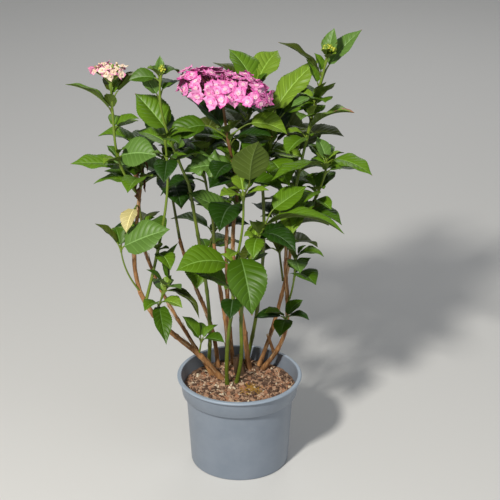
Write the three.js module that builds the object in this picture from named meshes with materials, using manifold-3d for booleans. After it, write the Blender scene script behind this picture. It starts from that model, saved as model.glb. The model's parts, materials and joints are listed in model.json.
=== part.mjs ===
// A young mophead hydrangea, leggy and open, growing in a three-litre nursery pot.
// Millimetres, Z up, Y to the back; the origin is the middle of the pot's flat underside.
import * as THREE from 'three';
import { mergeVertices } from 'three/addons/utils/BufferGeometryUtils.js';
import Module from 'manifold-3d';

const wasm = await Module();
wasm.setup();

// Pot: a tapered tub, a wider band at its top, a rolled lip and drainage holes
const POT_HEIGHT = 145;
const POT_BASE_RADIUS = 75;
const POT_SHOULDER_HEIGHT = 115;
const POT_SHOULDER_RADIUS = 81.5;
const POT_BAND_FOOT_RADIUS = 87.5;
const POT_BAND_TOP_RADIUS = 91;
const POT_LIP_RADIUS = 95;
const POT_LIP_HEIGHT = 4;
const POT_WALL = 2.4;
const POT_FLOOR = 3;
const POT_SIDES = 36;
const POT_EDGE = 1.5;
const POT_LIP_FALL = 0.6;
const POT_LIP_ROUND = 1;
const DRAIN_HOLES = 8;
const DRAIN_HOLE_RADIUS = 6;
const DRAIN_HOLE_CIRCLE = 58;
const DRAIN_HOLE_SIDES = 12;

// Compost: fills the pot to a hand's thumb below the lip, flat in the middle and lumpy by the wall
const COMPOST_TOP = 124;
const COMPOST_LUMP = 2.2;
const COMPOST_FLAT_RADIUS = 72;
const COMPOST_CLEARANCE = 0.5;
const COMPOST_EDGE_WIDTH = 8;

// Small clearance between neighbouring pieces
const GAP = 0.3;

// Details smaller than this are dropped where solids are joined
const SLIVER = 0.04;

// Sizes too small to matter, for shares and lengths
const TINY = 1e-6;
const WELD = 1e-4;

// Limits that no leaf may pass, so the crown keeps its outline
const CROWN = { left: -246, right: 192, front: -165, back: 178, top: 692, bottom: 152 };
const POT_CLEAR_RADIUS = 100;
const CROWN_SKIRT = 132;

// Leaves: an ovate blade, folded up along its midrib and arching to its tip
const LEAF_WIDTH = 0.7;
const LEAF_FOLD = 20;
const LEAF_THICKNESS = 0.018;
const LEAF_THICKNESS_LEAST = 1.1;
const LEAF_OUTLINE_SKEW = 0.85;
const LEAF_OUTLINE_FULLNESS = 0.8;
const STALK_LIFT = 25;
const STALK_LIFT_LEAST = 10;
const STALK_LIFT_MOST = 65;
const STALK_RADIUS = 1.25;
const STALK_ROOT_DEPTH = 0.55;
const STALK_HIGHEST = 0.95;

// Sides and steps of a limb and of a mass's stem
const LIMB_SIDES = 6;
const LIMB_STEPS = 9;
const SHOOT_SIDES = 5;
const SHOOT_STEPS = 6;

// How far a limb's foot flares, and over which share of its length
const FLARE = 0.35;
const FLARE_SHARE = 0.1;

// How the leaves of a filling pair vary from one to the next
const PAIR_SEED = 20;
const PAIR_TURNS = [-14, 14];
const PAIR_RISES = [-8, 8];
const PAIR_SIZES = [0.9, 1.08];
const PAIR_DROOPS = [30, 60];
const PAIR_STALK = 0.2;

// The rings of a leaf's solid: its root in the stem, the stem's skin, the blade's base,
// two places along the blade, and its tip
const LEAF_RINGS = 5;
const BLADE_RINGS = { 2: 0, 3: 0.36, 4: 0.76, 5: 1 };

// Clearances that a leaf is tested with before it is let in
const TEST_GROWTH = 1.07;
const TEST_THICKNESS = 3.2;
const TEST_STEM_MARGIN = 1.1;

// Changes that a leaf tries in turn when its first place is taken: turn, rise, size
const NUDGES = [
  [0, 0, 1], [12, 0, 1], [-12, 0, 1], [0, 12, 1], [0, -12, 1], [22, 8, 0.94], [-22, 8, 0.94],
  [22, -12, 0.9], [-22, -12, 0.9], [40, 6, 0.86], [-40, 6, 0.86], [0, 26, 0.84], [0, -26, 0.84],
];

// Canes and bare green stems. Each may bow sideways at its middle and sway once along its length,
// and tapers from its first girth to its second; a foot on the compost flares out.
const LIMBS = {
  left_cane: { foot: [-28, 20], end: [-148, 0, 282], bow: [-5, 0, -3], sway: [4, 0, 3], girth: [9, 7.4] },
  left_cane_top: {
    on: 'left_cane', at: 1, end: [-145, 24, 438], bow: [-8, 0, 0], sway: [-2, 0, 0], girth: [6.8, 5.2],
  },
  left_back_cane: {
    foot: [-42, 32], end: [-143, 40, 337], bow: [-6, 2, -5], sway: [2, 0, 0], girth: [6.4, 4.6],
  },
  old_stump: { foot: [1, 35], end: [-3, 38, 154], girth: [19, 15] },
  centre_cane: { foot: [14, 53], end: [-8, 15, 389], bow: [-5, 0, 0], sway: [3, 0, 0], girth: [8.4, 5.8] },
  inner_cane: { foot: [-20, 44], end: [-38, 38, 345], bow: [4, 4, 0], sway: [2, 0, 0], girth: [6.4, 5] },
  right_cane: { foot: [34, 50], end: [72, 20, 383], bow: [20, 0, -6], sway: [8, 0, -2], girth: [7.2, 5] },
  green_stem_a: { foot: [-19, 3], end: [-9, -22, 268], bow: [-4, 0, 0], girth: [6.2, 5.2] },
  green_stem_b: { foot: [-5, 7], end: [9, -28, 300], bow: [1, 0, 0], sway: [3, 0, 0], girth: [6, 5] },
  green_stem_c: { foot: [-49, 45], end: [-73, 4, 455], bow: [10, 0, 0], sway: [2, 0, 0], girth: [6, 4.8] },
  green_stem_d: { foot: [10, 70], end: [34, 46, 440], bow: [12, 10, 0], girth: [6, 4.6] },
  rear_left_cane: { foot: [-34, 57], end: [-92, 92, 330], bow: [4, 8, 0], sway: [4, 0, 0], girth: [7, 5] },
  rear_middle_cane: {
    foot: [-10, 65], end: [-18, 104, 372], bow: [-6, 8, 0], sway: [0, 4, 0], girth: [7, 5],
  },
  rear_right_cane: { foot: [30, 62], end: [80, 98, 322], bow: [8, 10, 0], girth: [7, 5] },
};

// Masses of leaves, each on one stem. A leaf row says how far up the stem it grows, its compass
// turn (0 right, 90 back), its stalk's length, its rise, its droop, its blade's length and, where
// the blade rolls about its midrib, by how much. After these, opposite pairs fill the stem between
// two shares, each pair turned square to the last. Rows that come first take their place first.
const MASSES = {
  upper_middle_leaves: {
    on: 'green_stem_d', at: 1, end: [48, 22, 556], bow: [4, 0, 0], girth: [4.2, 3],
    leaves: [
      [1, 35, 8, 46, 16, 104, 5], [0.98, 118, 10, 42, 40, 70], [0.74, 12, 30, 28, 36, 72, 15],
      [0.42, 55, 22, 70, 10, 78], [0.35, 352, 26, 40, 90, 74], [0.6, 168, 6, 14, 20, 42, -25],
      [0.42, 352, 6, 14, 24, 46, 25], [0.5, 75, 5, 60, 10, 28], [0.2, 120, 14, 15, 50, 84],
      [0.2, 300, 12, 15, 60, 46], [0.94, 250, 10, 38, 40, 44],
    ],
    pairs: { from: 0.05, to: 0.8, count: 4, turn: 30, size: [74, 62], rise: [5, 30] },
  },
  green_shoot_a: {
    on: 'green_stem_a', at: 1, end: [6, -60, 468], bow: [1, 0, 0], sway: [-3, 0, 0], girth: [5, 3],
    leaves: [
      [0.46, 284, 16, -12, 60, 96], [0.33, 206, 18, 22, 40, 82, -25], [0.1, 192, 20, 44, 36, 72, -20],
      [0.06, 265, 8, 10, 60, 44], [0.98, 315, 30, 85, 20, 68, -30], [0.94, 228, 12, 24, 22, 42],
      [0.99, 330, 6, 40, 30, 38], [0.95, 100, 8, 40, 40, 42],
    ],
  },
  green_shoot_b: {
    on: 'green_stem_b', at: 1, end: [37, -50, 411], bow: [-5, 0, 2], girth: [4.8, 3],
    leaves: [
      [0.97, 345, 6, 38, 78, 126, -10], [0.8, 314, 8, 30, 70, 76], [0.78, 262, 9, 6, 60, 42],
      [1, 22, 30, 36, 16, 60, 20], [0.3, 60, 10, 20, 50, 46], [0.62, 30, 14, 26, 50, 64],
    ],
  },
  centre_leaves: {
    on: 'centre_cane', at: 1, end: [-22, -8, 578], bow: [7, 0, 0], sway: [3, 0, 0], girth: [5.2, 4],
    leaves: [
      [0.01, 200, 14, 38, 12, 76, -35], [0.3, 250, 14, 30, 40, 66], [0.74, 185, 36, 8, 56, 60, -25],
      [0.74, 10, 36, 8, 50, 58, 20], [0.7, 150, 20, 46, 34, 82], [0.32, 110, 16, 20, 50, 84],
      [0.44, 195, 6, 26, 50, 74, -30],
    ],
    pairs: { from: 0.12, to: 0.66, count: 4, turn: 65, size: [72, 60], rise: [5, 30] },
  },
  inner_left_leaves: {
    on: 'inner_cane', at: 1, end: [-52, 22, 500], sway: [2, 0, 0], girth: [4.4, 2.8],
    leaves: [
      [0.77, 316, 8, 36, 32, 82], [0.8, 150, 10, 30, 40, 76], [1, 70, 8, 55, 35, 66],
      [1, 245, 8, 40, 50, 62], [0.3, 120, 12, 15, 50, 62], [0.32, 60, 10, 18, 60, 58],
    ],
    pairs: { from: 0.66, to: 0.98, count: 3, turn: 20, size: [66, 56], rise: [10, 40] },
  },
  left_foot_leaves: {
    on: 'left_cane', at: 0.3, end: [-58, 6, 196], girth: [3, 2.2],
    leaves: [[0.95, 170, 6, 60, 12, 44, -10], [0.9, 330, 8, 30, 50, 38], [1, 80, 8, 45, 40, 38]],
  },
  left_low_leaves: {
    on: 'left_cane', at: 0.78, end: [-108, -22, 300], bow: [-2, 0, -4], girth: [3.6, 2.6],
    leaves: [
      [0.95, 27, 15, 90, 30, 59], [0.96, 296, 5, 30, 20, 61], [0.84, 322, 7, 33, 90, 76],
      [0.4, 282, 6, -4, 50, 72], [1, 140, 8, 60, 40, 40], [0.7, 100, 8, 20, 50, 48],
    ],
  },
  left_thin_stalk_leaves: {
    on: 'left_cane_top', at: 0.03, end: [-172, -30, 368], bow: [-5, 0, -2], girth: [3, 2.2],
    leaves: [[1, 350, 6, 32, 14, 78, 42], [1, 170, 11, 51, 20, 44], [0.92, 75, 9, 30, 40, 52]],
  },
  left_green_shoot: {
    on: 'left_cane', at: 0.93, end: [-105, -35, 545], bow: [13, 0, 0], sway: [-2, 0, 0],
    girth: [5, 3],
    leaves: [
      [0.28, 298, 6, 14, 60, 44], [0.84, 268, 8, 8, 50, 54], [0.98, 300, 6, 30, 40, 40],
      [0.8, 60, 12, 20, 40, 58], [1, 20, 8, 30, 50, 42],
    ],
  },
  left_top_leaves: {
    on: 'left_cane_top', at: 1, end: [-141, 32, 486], bow: [1, 0, 0], girth: [4.4, 2.6],
    leaves: [
      [0.9, 178, 22, 50, 70, 60], [0.1, 120, 12, 30, 50, 56], [0.2, 255, 12, 22, 50, 54],
      [0.5, 185, 16, 10, 30, 42, -30], [0.9, 90, 12, 30, 45, 62], [0.5, 110, 12, 15, 50, 60],
    ],
  },
  left_dead_leaf: {
    on: 'left_cane_top', at: 0.84, end: [-152, 4, 415], bow: [0, 0, 3], girth: [2.4, 2],
    leaves: [[0.95, 251, 3, -14, 50, 42]],
  },
  young_flower_shoot: {
    on: 'left_cane_top', at: 0.95, end: [-179, -14, 611], bow: [-14, 0, -4], sway: [-3, 0, 0],
    girth: [4.2, 3],
    leaves: [
      [0.76, 192, 8, 58, 50, 76], [0.85, 15, 18, 50, 0, 44], [0.28, 190, 6, 14, 20, 68, -20],
      [0.36, 2, 5, 34, 30, 64, 40], [0.6, 50, 8, 10, 25, 44], [0.88, 72, 8, 34, 40, 50],
      [0.93, 150, 10, 30, 30, 48, -20], [0.06, 186, 6, 36, 66, 58, -10],
    ],
  },
  left_back_leaves: {
    on: 'left_back_cane', at: 1, end: [-152, 62, 420], bow: [0, 4, 0], girth: [4, 2.8],
    leaves: [[0.15, 150, 12, 15, 50, 50]],
    pairs: { from: 0.3, to: 1, count: 2, turn: 95, size: [64, 52], rise: [15, 45] },
  },
  mid_left_leaves: {
    on: 'green_stem_c', at: 1, end: [-108, -22, 628], bow: [-12, 0, 0], sway: [2, 0, 0],
    girth: [4.6, 2.8],
    leaves: [
      [0.42, 150, 14, 50, 18, 68, -22], [0.76, 158, 10, 46, 18, 45, -25],
      [0.94, 182, 8, 14, 40, 38, -30], [1, 20, 6, 40, 110, 38], [1, 80, 6, 78, 10, 28],
      [0.8, 46, 12, 30, 45, 54], [0.5, 60, 14, 22, 50, 78], [0.22, 150, 16, 12, 50, 80],
      [0.22, 60, 14, 14, 55, 60],
    ],
  },
  right_low_leaves: {
    on: 'right_cane', at: 0.34, end: [70, 7, 234], bow: [0, 0, -2], girth: [3, 2.2],
    leaves: [
      [0.9, 258, 6, 8, 40, 44], [1, 330, 6, 30, 50, 38], [0.95, 190, 8, 16, 30, 42],
      [1, 60, 6, 40, 40, 38],
    ],
  },
  right_side_leaves: {
    on: 'right_cane', at: 0.52, end: [84, 6, 336], bow: [2, 0, -4], girth: [3.4, 2.4],
    leaves: [
      [1, 350, 8, 40, 80, 42], [0.9, 276, 8, 22, 46, 46], [0.55, 300, 10, 36, 60, 60],
      [1, 120, 8, 40, 45, 44], [0.6, 100, 10, 20, 55, 48],
    ],
  },
  right_middle_leaves: {
    on: 'right_cane', at: 0.97, end: [128, 6, 492], bow: [10, 0, -6], girth: [4.6, 2.8],
    leaves: [
      [0.95, 334, 14, 14, 44, 70, 12], [1, 120, 6, 55, 20, 36], [0.62, 196, 12, 10, 40, 68],
      [0.45, 240, 10, 0, 50, 58], [0.9, 206, 10, 18, 40, 96, 16], [1, 168, 8, 44, 60, 64],
      [0.9, 100, 12, 24, 50, 60], [0.55, 110, 14, 15, 55, 62],
    ],
    pairs: { from: 0.25, to: 0.8, count: 3, turn: 160, size: [60, 50], rise: [5, 35] },
  },
  right_top_leaves: {
    on: 'right_cane', at: 1, end: [127, 20, 648], bow: [-2, 0, 0], girth: [4.8, 3],
    leaves: [
      [0.8, 28, 32, 44, 8, 72, 10], [0.86, 188, 6, 58, 40, 79], [1, 50, 5, 74, 10, 42],
      [0.54, 330, 12, 50, 50, 78], [0.7, 312, 8, 52, 16, 52], [0.95, 300, 5, 50, 20, 26],
      [0.8, 140, 6, 40, 20, 46], [0.74, 200, 8, 16, 20, 38], [0.7, 272, 8, 32, 32, 50],
      [0.7, 110, 12, 24, 45, 78], [0.6, 60, 10, 30, 40, 58], [0.5, 240, 10, 10, 40, 52],
      [0.4, 150, 14, 20, 50, 84], [0.38, 60, 14, 15, 55, 62],
    ],
    pairs: { from: 0.12, to: 0.6, count: 3, turn: 100, size: [68, 56], rise: [5, 35] },
  },
  rear_left_leaves: {
    on: 'rear_left_cane', at: 1, end: [-116, 112, 470], bow: [0, 6, 0], girth: [4.6, 2.8],
    leaves: [],
    pairs: { from: 0.58, to: 1, count: 3, turn: 110, size: [80, 64], rise: [10, 50] },
  },
  rear_left_side_leaves: {
    on: 'rear_left_cane', at: 0.62, end: [-40, 118, 330], bow: [0, 4, -6], girth: [3.8, 2.6],
    leaves: [],
    pairs: { from: 0.6, to: 1, count: 2, turn: 75, size: [72, 60], rise: [10, 35] },
  },
  rear_middle_leaves: {
    on: 'rear_middle_cane', at: 1, end: [26, 70, 586], bow: [0, 12, 0], girth: [4.8, 2.8],
    leaves: [[0.97, 135, 8, 50, 24, 66], [1, 60, 8, 38, 22, 72], [0.9, 168, 8, 48, 30, 70]],
    pairs: { from: 0.22, to: 0.84, count: 5, turn: 80, size: [90, 70], rise: [5, 40] },
  },
  rear_right_leaves: {
    on: 'rear_right_cane', at: 1, end: [86, 100, 480], bow: [4, 6, 0], girth: [4.6, 2.8],
    leaves: [],
    pairs: { from: 0.12, to: 1, count: 6, turn: 45, size: [60, 74], rise: [5, 50] },
  },
  rear_right_side_leaves: {
    on: 'rear_right_cane', at: 0.66, end: [56, 120, 352], bow: [0, 4, -6], girth: [3.8, 2.6],
    leaves: [],
    pairs: { from: 0.5, to: 1, count: 2, turn: 45, size: [70, 58], rise: [10, 35] },
  },
};

// Flower heads: four-petalled florets on rays over a flattened dome, from its top down to a low share
const HEADS = {
  pink_flower_head: {
    on: 'centre_leaves', middle: [-19, -12, 604], reach: [59, 42, 25],
    low: -0.25, lean: 0.15, florets: 38, petal: 12.5, seed: 41, colour: 'pink',
  },
  young_flower_head: {
    on: 'young_flower_shoot', middle: [-182, -15, 629], reach: [25, 20, 12],
    low: -0.05, lean: 0, florets: 14, petal: 7.5, seed: 57, colour: 'cream',
  },
};
const FLORET_THICKNESS = 2.2;
const FLORET_RINGS = 3;
const RAY_RADIUS = 1.4;
const HEAD_CORE = 0.5;
const RAY_FOOT = 0.8;
const NECK_SUNK = 6;
const FLORET_DEPTHS = [0.93, 1.05];
const PETAL_SIZES = [0.88, 1.1];
const HEAD_HEADROOM = 4;
const GOLDEN_TURN = Math.PI * (3 - Math.sqrt(5));

// Colours and how rough each surface is
const FINISHES = {
  pot: { color: 0x8793a0, roughness: 0.6 },
  compost: { color: 0x6d4e38, roughness: 0.95 },
  bark: { color: 0x8a6a44, roughness: 0.8 },
  green_stem: { color: 0x6b8431, roughness: 0.8 },
  leaf: { color: 0x5f8a2a, roughness: 0.55 },
  pink: { color: 0xe071b4, roughness: 0.6 },
  cream: { color: 0xe9c9b4, roughness: 0.6 },
};

// A repeatable stream of numbers from 0 to 1
function stream(seed) {
  let state = seed >>> 0;
  return () => {
    state = (state + 0x6d2b79f5) >>> 0;
    let mixed = Math.imul(state ^ (state >>> 15), state | 1);
    mixed = (mixed + Math.imul(mixed ^ (mixed >>> 7), mixed | 61)) ^ mixed;
    return ((mixed ^ (mixed >>> 14)) >>> 0) / 4294967296;
  };
}

const radians = (degrees) => (degrees * Math.PI) / 180;
const mix = (a, b, share) => a + (b - a) * share;
const vector = (values) => new THREE.Vector3(...values);

// A direction from its compass turn and its rise above the horizontal, in degrees
function heading(turn, rise) {
  const level = Math.cos(radians(rise));
  const around = radians(turn);
  return new THREE.Vector3(level * Math.cos(around), level * Math.sin(around), Math.sin(radians(rise)));
}

const STRAIGHT = [0, 0, 0];

// A stem's middle line: straight from start to end, with one bow and one sway
class StemLine extends THREE.Curve {
  constructor(start, end, bow, sway) {
    super();
    Object.assign(this, { start, end, bow, sway });
  }

  getPoint(share) {
    const point = this.start.clone().lerp(this.end, share);
    point.addScaledVector(this.bow, 4 * share * (1 - share));
    return point.addScaledVector(this.sway, Math.sin(2 * Math.PI * share));
  }
}

// Turns a closed three.js geometry into a solid for joining
function solidOf(geometry) {
  const bare = geometry.clone();
  bare.deleteAttribute('normal');
  bare.deleteAttribute('uv');
  const merged = mergeVertices(bare, WELD);
  const positions = new Float32Array(merged.attributes.position.array);
  const faces = new Uint32Array(merged.index.array);
  return new wasm.Manifold(new wasm.Mesh({ numProp: 3, vertProperties: positions, triVerts: faces }));
}

const largest = (solid) => solid.decompose().sort((a, b) => b.volume() - a.volume())[0];

// Turns a solid back into a three.js geometry
function geometryOf(solid) {
  const mesh = solid.getMesh();
  const geometry = new THREE.BufferGeometry();
  geometry.setAttribute('position', new THREE.BufferAttribute(new Float32Array(mesh.vertProperties), 3));
  geometry.setIndex(Array.from(mesh.triVerts));
  return geometry;
}

// Joins geometries into one, and drops loose scraps and slivers
function fused(geometries) {
  let whole = solidOf(geometries[0]);
  for (const geometry of geometries.slice(1)) {
    whole = whole.add(solidOf(geometry));
  }
  return geometryOf(largest(largest(whole).simplify(SLIVER)));
}

// A line nearer to the Y axis than this share has its sides reckoned from the X axis
const MOST_ALONG_Y = 0.8;

// A tapering tube: a cylinder bent along a line, its foot cut flat square to the given direction
function tube(line, radiusAt, sides, steps, cut = null) {
  const geometry = new THREE.CylinderGeometry(1, 1, 1, sides, steps);
  const position = geometry.attributes.position;
  const run = line.getPoint(1).sub(line.getPoint(0)).normalize();
  const reference = Math.abs(run.y) < MOST_ALONG_Y ? vector([0, 1, 0]) : vector([1, 0, 0]);
  const foot = line.getPoint(0);
  const point = new THREE.Vector3();
  for (let i = 0; i < position.count; i += 1) {
    const share = position.getY(i) + 0.5;
    const tangent = line.getTangent(share);
    const across = new THREE.Vector3().crossVectors(tangent, reference).normalize();
    const other = new THREE.Vector3().crossVectors(across, tangent);
    const radius = radiusAt(share);
    point.copy(line.getPoint(share));
    point.addScaledVector(across, position.getX(i) * radius);
    point.addScaledVector(other, position.getZ(i) * radius);
    if (cut && share < TINY) {
      point.addScaledVector(tangent, foot.clone().sub(point).dot(cut) / tangent.dot(cut));
    }
    position.setXYZ(i, point.x, point.y, point.z);
  }
  return geometry;
}

// The leaf's middle line from its base: an arc that starts at its rise and bends down by its droop
function midrib(leaf, share) {
  const start = radians(leaf.rise);
  const bend = radians(leaf.droop) * share;
  const end = start - bend;
  const along = Math.abs(bend) < TINY
    ? [Math.cos(start), Math.sin(start)]
    : [(Math.sin(start) - Math.sin(end)) / bend, (Math.cos(end) - Math.cos(start)) / bend];
  const run = leaf.length * share;
  const turn = radians(leaf.turn);
  const point = leaf.base.clone();
  point.x += run * along[0] * Math.cos(turn);
  point.y += run * along[0] * Math.sin(turn);
  point.z += run * along[1];
  return point;
}

// The blade's half width at a share of its length, as a part of its greatest
const outline = (share) => Math.sin(Math.PI * share ** LEAF_OUTLINE_SKEW) ** LEAF_OUTLINE_FULLNESS;

// Where a sphere's corner lies: its ring counted from the first pole, and its side there
function corner(position, i, rings) {
  const x = position.getX(i);
  const z = position.getZ(i);
  const radius = Math.hypot(x, z);
  const onPole = radius < TINY;
  return {
    ring: Math.round((Math.acos(THREE.MathUtils.clamp(position.getY(i), -1, 1)) * rings) / Math.PI),
    across: onPole ? 0 : x / radius,
    up: onPole ? 0 : z / radius,
  };
}

// The sideways and upward directions of something that runs along a turn and a rise
function spread(turn, rise) {
  return { side: heading(turn + 90, 0), normal: heading(turn, rise + 90) };
}

// The same directions after a roll about the run they are square to
function rolled({ side, normal }, roll) {
  const [level, tilt] = [Math.cos(radians(roll)), Math.sin(radians(roll))];
  return {
    side: side.clone().multiplyScalar(level).addScaledVector(normal, tilt),
    normal: normal.clone().multiplyScalar(level).addScaledVector(side, -tilt),
  };
}

// A point of the blade, from how far along it, how far across it and how far off its middle it lies
function bladePoint(leaf, share, across, lift, growth) {
  const { side, normal } = rolled(spread(leaf.turn, leaf.rise - leaf.droop * share), leaf.roll);
  const half = 0.5 * leaf.width * outline(share) * growth * across;
  const point = midrib(leaf, 0.5 + (share - 0.5) * growth);
  point.addScaledVector(side, half * Math.cos(radians(leaf.fold)));
  return point.addScaledVector(normal, Math.abs(half) * Math.sin(radians(leaf.fold)) + lift);
}

// A leaf with its stalk: a sphere of four sides drawn out from the stem to the tip
function leafSolid(leaf) {
  const geometry = new THREE.SphereGeometry(1, 4, LEAF_RINGS);
  const position = geometry.attributes.position;
  const thick = Math.max(LEAF_THICKNESS_LEAST, LEAF_THICKNESS * leaf.length);
  const { side, normal } = spread(leaf.turn, leaf.lift);
  for (let i = 0; i < position.count; i += 1) {
    const { ring, across, up } = corner(position, i, LEAF_RINGS);
    let point;
    if (ring < 3) {
      point = [leaf.root, leaf.skin, leaf.base][ring].clone();
      point.addScaledVector(side, across * STALK_RADIUS);
      point.addScaledVector(normal, up * STALK_RADIUS);
    } else {
      point = bladePoint(leaf, BLADE_RINGS[ring], across, up * thick * 0.5, 1);
    }
    position.setXYZ(i, point.x, point.y, point.z);
  }
  return geometry;
}

// The slightly larger blade that a leaf's place is tested with
function bladeTestShape(leaf) {
  const geometry = new THREE.SphereGeometry(1, 4, 4);
  const position = geometry.attributes.position;
  for (let i = 0; i < position.count; i += 1) {
    const { ring, across, up } = corner(position, i, 4);
    const point = bladePoint(leaf, ring / 4, across, up * TEST_THICKNESS * 0.5, TEST_GROWTH);
    position.setXYZ(i, point.x, point.y, point.z);
  }
  return geometry;
}

// The slightly thicker stalk that a leaf's place is tested with
function stalkTestShape(leaf) {
  return tube(new THREE.LineCurve3(leaf.skin, leaf.base), () => STALK_RADIUS + TEST_STEM_MARGIN, 3, 1);
}

// The slightly thicker tube that keeps leaves off a limb or a stem
function stemTestFaces({ line, radiusAt }, steps) {
  return facesOf(tube(line, (share) => radiusAt(share) + TEST_STEM_MARGIN, SHOOT_SIDES, steps));
}

// The bare triangles of a closed geometry, with the box round them
function facesOf(geometry) {
  const flat = geometry.index ? geometry.toNonIndexed() : geometry;
  const values = flat.attributes.position.array;
  const faces = [];
  const box = new THREE.Box3();
  for (let i = 0; i < values.length; i += 9) {
    const face = [i, i + 3, i + 6].map((k) => new THREE.Vector3(values[k], values[k + 1], values[k + 2]));
    const area = face[1].clone().sub(face[0]).cross(face[2].clone().sub(face[0])).length();
    if (area > TINY) {
      faces.push(face);
      face.forEach((corner) => box.expandByPoint(corner));
    }
  }
  return { faces, box };
}

const ray = new THREE.Ray();
const hitPoint = new THREE.Vector3();

// Whether any edge of the first set of faces passes through a face of the second
function edgesCross(first, second) {
  for (const face of first.faces) {
    for (let k = 0; k < 3; k += 1) {
      const from = face[k];
      const to = face[(k + 1) % 3];
      const length = from.distanceTo(to);
      ray.origin.copy(from);
      ray.direction.copy(to).sub(from).divideScalar(length);
      for (const other of second.faces) {
        if (ray.intersectTriangle(other[0], other[1], other[2], false, hitPoint)
          && hitPoint.distanceTo(from) <= length) {
          return true;
        }
      }
    }
  }
  return false;
}

const touches = (a, b) => a.box.intersectsBox(b.box) && (edgesCross(a, b) || edgesCross(b, a));

// Whether a shape stays in the crown and off the pot
function inCrown(shape) {
  const { min, max } = shape.box;
  if (min.x < CROWN.left || max.x > CROWN.right || min.y < CROWN.front || max.y > CROWN.back) {
    return false;
  }
  if (max.z > CROWN.top || min.z < CROWN_SKIRT) {
    return false;
  }
  return shape.faces.flat().every((p) => p.z > CROWN.bottom || Math.hypot(p.x, p.y) > POT_CLEAR_RADIUS);
}

// Where a shoot carries on from its limb's tip or leaves the limb's side, and the way its foot is cut
function seat(limb, share, end) {
  const at = limb.line.getPoint(share);
  const tangent = limb.line.getTangent(share);
  if (share >= 1) {
    return { start: at.addScaledVector(tangent, GAP), cut: tangent };
  }
  const toward = end.clone().sub(at);
  const outward = toward.addScaledVector(tangent, -toward.dot(tangent)).normalize();
  return { start: at.addScaledVector(outward, limb.radiusAt(share) + GAP), cut: outward };
}

// Gives a named limb or mass its line and its radius at each share of its length
function stemOf(spec, carriers) {
  const end = vector(spec.end);
  const radii = spec.girth.map((girth) => girth / 2);
  const { start, cut } = spec.foot
    ? { start: new THREE.Vector3(...spec.foot, COMPOST_TOP + GAP), cut: new THREE.Vector3(0, 0, 1) }
    : seat(carriers[spec.on], spec.at, end);
  const line = new StemLine(start, end, vector(spec.bow ?? STRAIGHT), vector(spec.sway ?? STRAIGHT));
  const flareAt = (share) => (spec.foot ? FLARE * Math.max(0, 1 - share / FLARE_SHARE) ** 2 : 0);
  const radiusAt = (share) => mix(radii[0], radii[1], share) * (1 + flareAt(share));
  return { line, radiusAt, cut };
}

// Grows one leaf from a row of its mass, in the first free place among the nudges
function growLeaf(row, owner, name, taken) {
  const [share, turn, stalkLength, rise, droop, length, roll = 0] = row;
  for (const [turnBy, riseBy, scale] of NUDGES) {
    const leafRise = rise + riseBy;
    const lift = Math.min(STALK_LIFT_MOST, Math.max(STALK_LIFT_LEAST, leafRise + STALK_LIFT));
    const root = owner.line.getPoint(Math.min(share, STALK_HIGHEST));
    const outward = heading(turn + turnBy, lift);
    const skin = root.clone().addScaledVector(outward, owner.radiusAt(share) * STALK_ROOT_DEPTH);
    const base = root.clone().addScaledVector(outward, stalkLength + owner.radiusAt(share));
    const size = length * scale;
    const leaf = {
      root, skin, base, lift, droop, roll, turn: turn + turnBy, rise: leafRise,
      length: size, width: size * LEAF_WIDTH, fold: LEAF_FOLD,
    };
    const bladeTest = facesOf(bladeTestShape(leaf));
    const stalkTest = facesOf(stalkTestShape(leaf));
    const free = inCrown(bladeTest) && taken.every((other) => {
      const own = other.name === name;
      return (own && other.stem) || (!touches(bladeTest, other) && (own || !touches(stalkTest, other)));
    });
    if (free) {
      taken.push({ name, ...bladeTest }, { name, ...stalkTest });
      return leaf;
    }
  }
  return null;
}

// Rows for the opposite pairs that fill a stem, each pair square to the one below it
function pairRows(pairs, random) {
  const rows = [];
  for (let k = 0; k < pairs.count; k += 1) {
    const along = pairs.count > 1 ? k / (pairs.count - 1) : 1;
    for (const half of [0, 180]) {
      const turn = pairs.turn + 90 * k + half + mix(...PAIR_TURNS, random());
      const rise = mix(...pairs.rise, along) + mix(...PAIR_RISES, random());
      const size = mix(...pairs.size, along) * mix(...PAIR_SIZES, random());
      const droop = mix(...PAIR_DROOPS, random());
      rows.push([mix(pairs.from, pairs.to, along), turn, size * PAIR_STALK, rise, droop, size]);
    }
  }
  return rows;
}

// A floret on its ray: a sphere of four sides drawn out into a stalk that opens into four petals
function floret(root, middle, facing, petal, spin) {
  const geometry = new THREE.SphereGeometry(1, 4, FLORET_RINGS);
  const position = geometry.attributes.position;
  const lay = new THREE.Quaternion().setFromUnitVectors(new THREE.Vector3(0, 1, 0), facing);
  const reaches = [RAY_RADIUS, petal, 0];
  const heights = [-FLORET_THICKNESS, 0, FLORET_THICKNESS * 0.5];
  for (let i = 0; i < position.count; i += 1) {
    const { ring, across, up } = corner(position, i, FLORET_RINGS);
    const point = root.clone();
    if (ring > 0) {
      const angle = Math.atan2(across, up) + spin;
      point.set(Math.cos(angle), 0, Math.sin(angle)).multiplyScalar(reaches[ring - 1]);
      point.y = heights[ring - 1];
      point.applyQuaternion(lay).add(middle);
    }
    position.setXYZ(i, point.x, point.y, point.z);
  }
  return geometry;
}

// What shears a head about its middle, so that its left side stands higher than its right
function leanOf(head) {
  return new THREE.Matrix4().makeShear(0, -head.lean, 0, 0, 0, 0);
}

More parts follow.
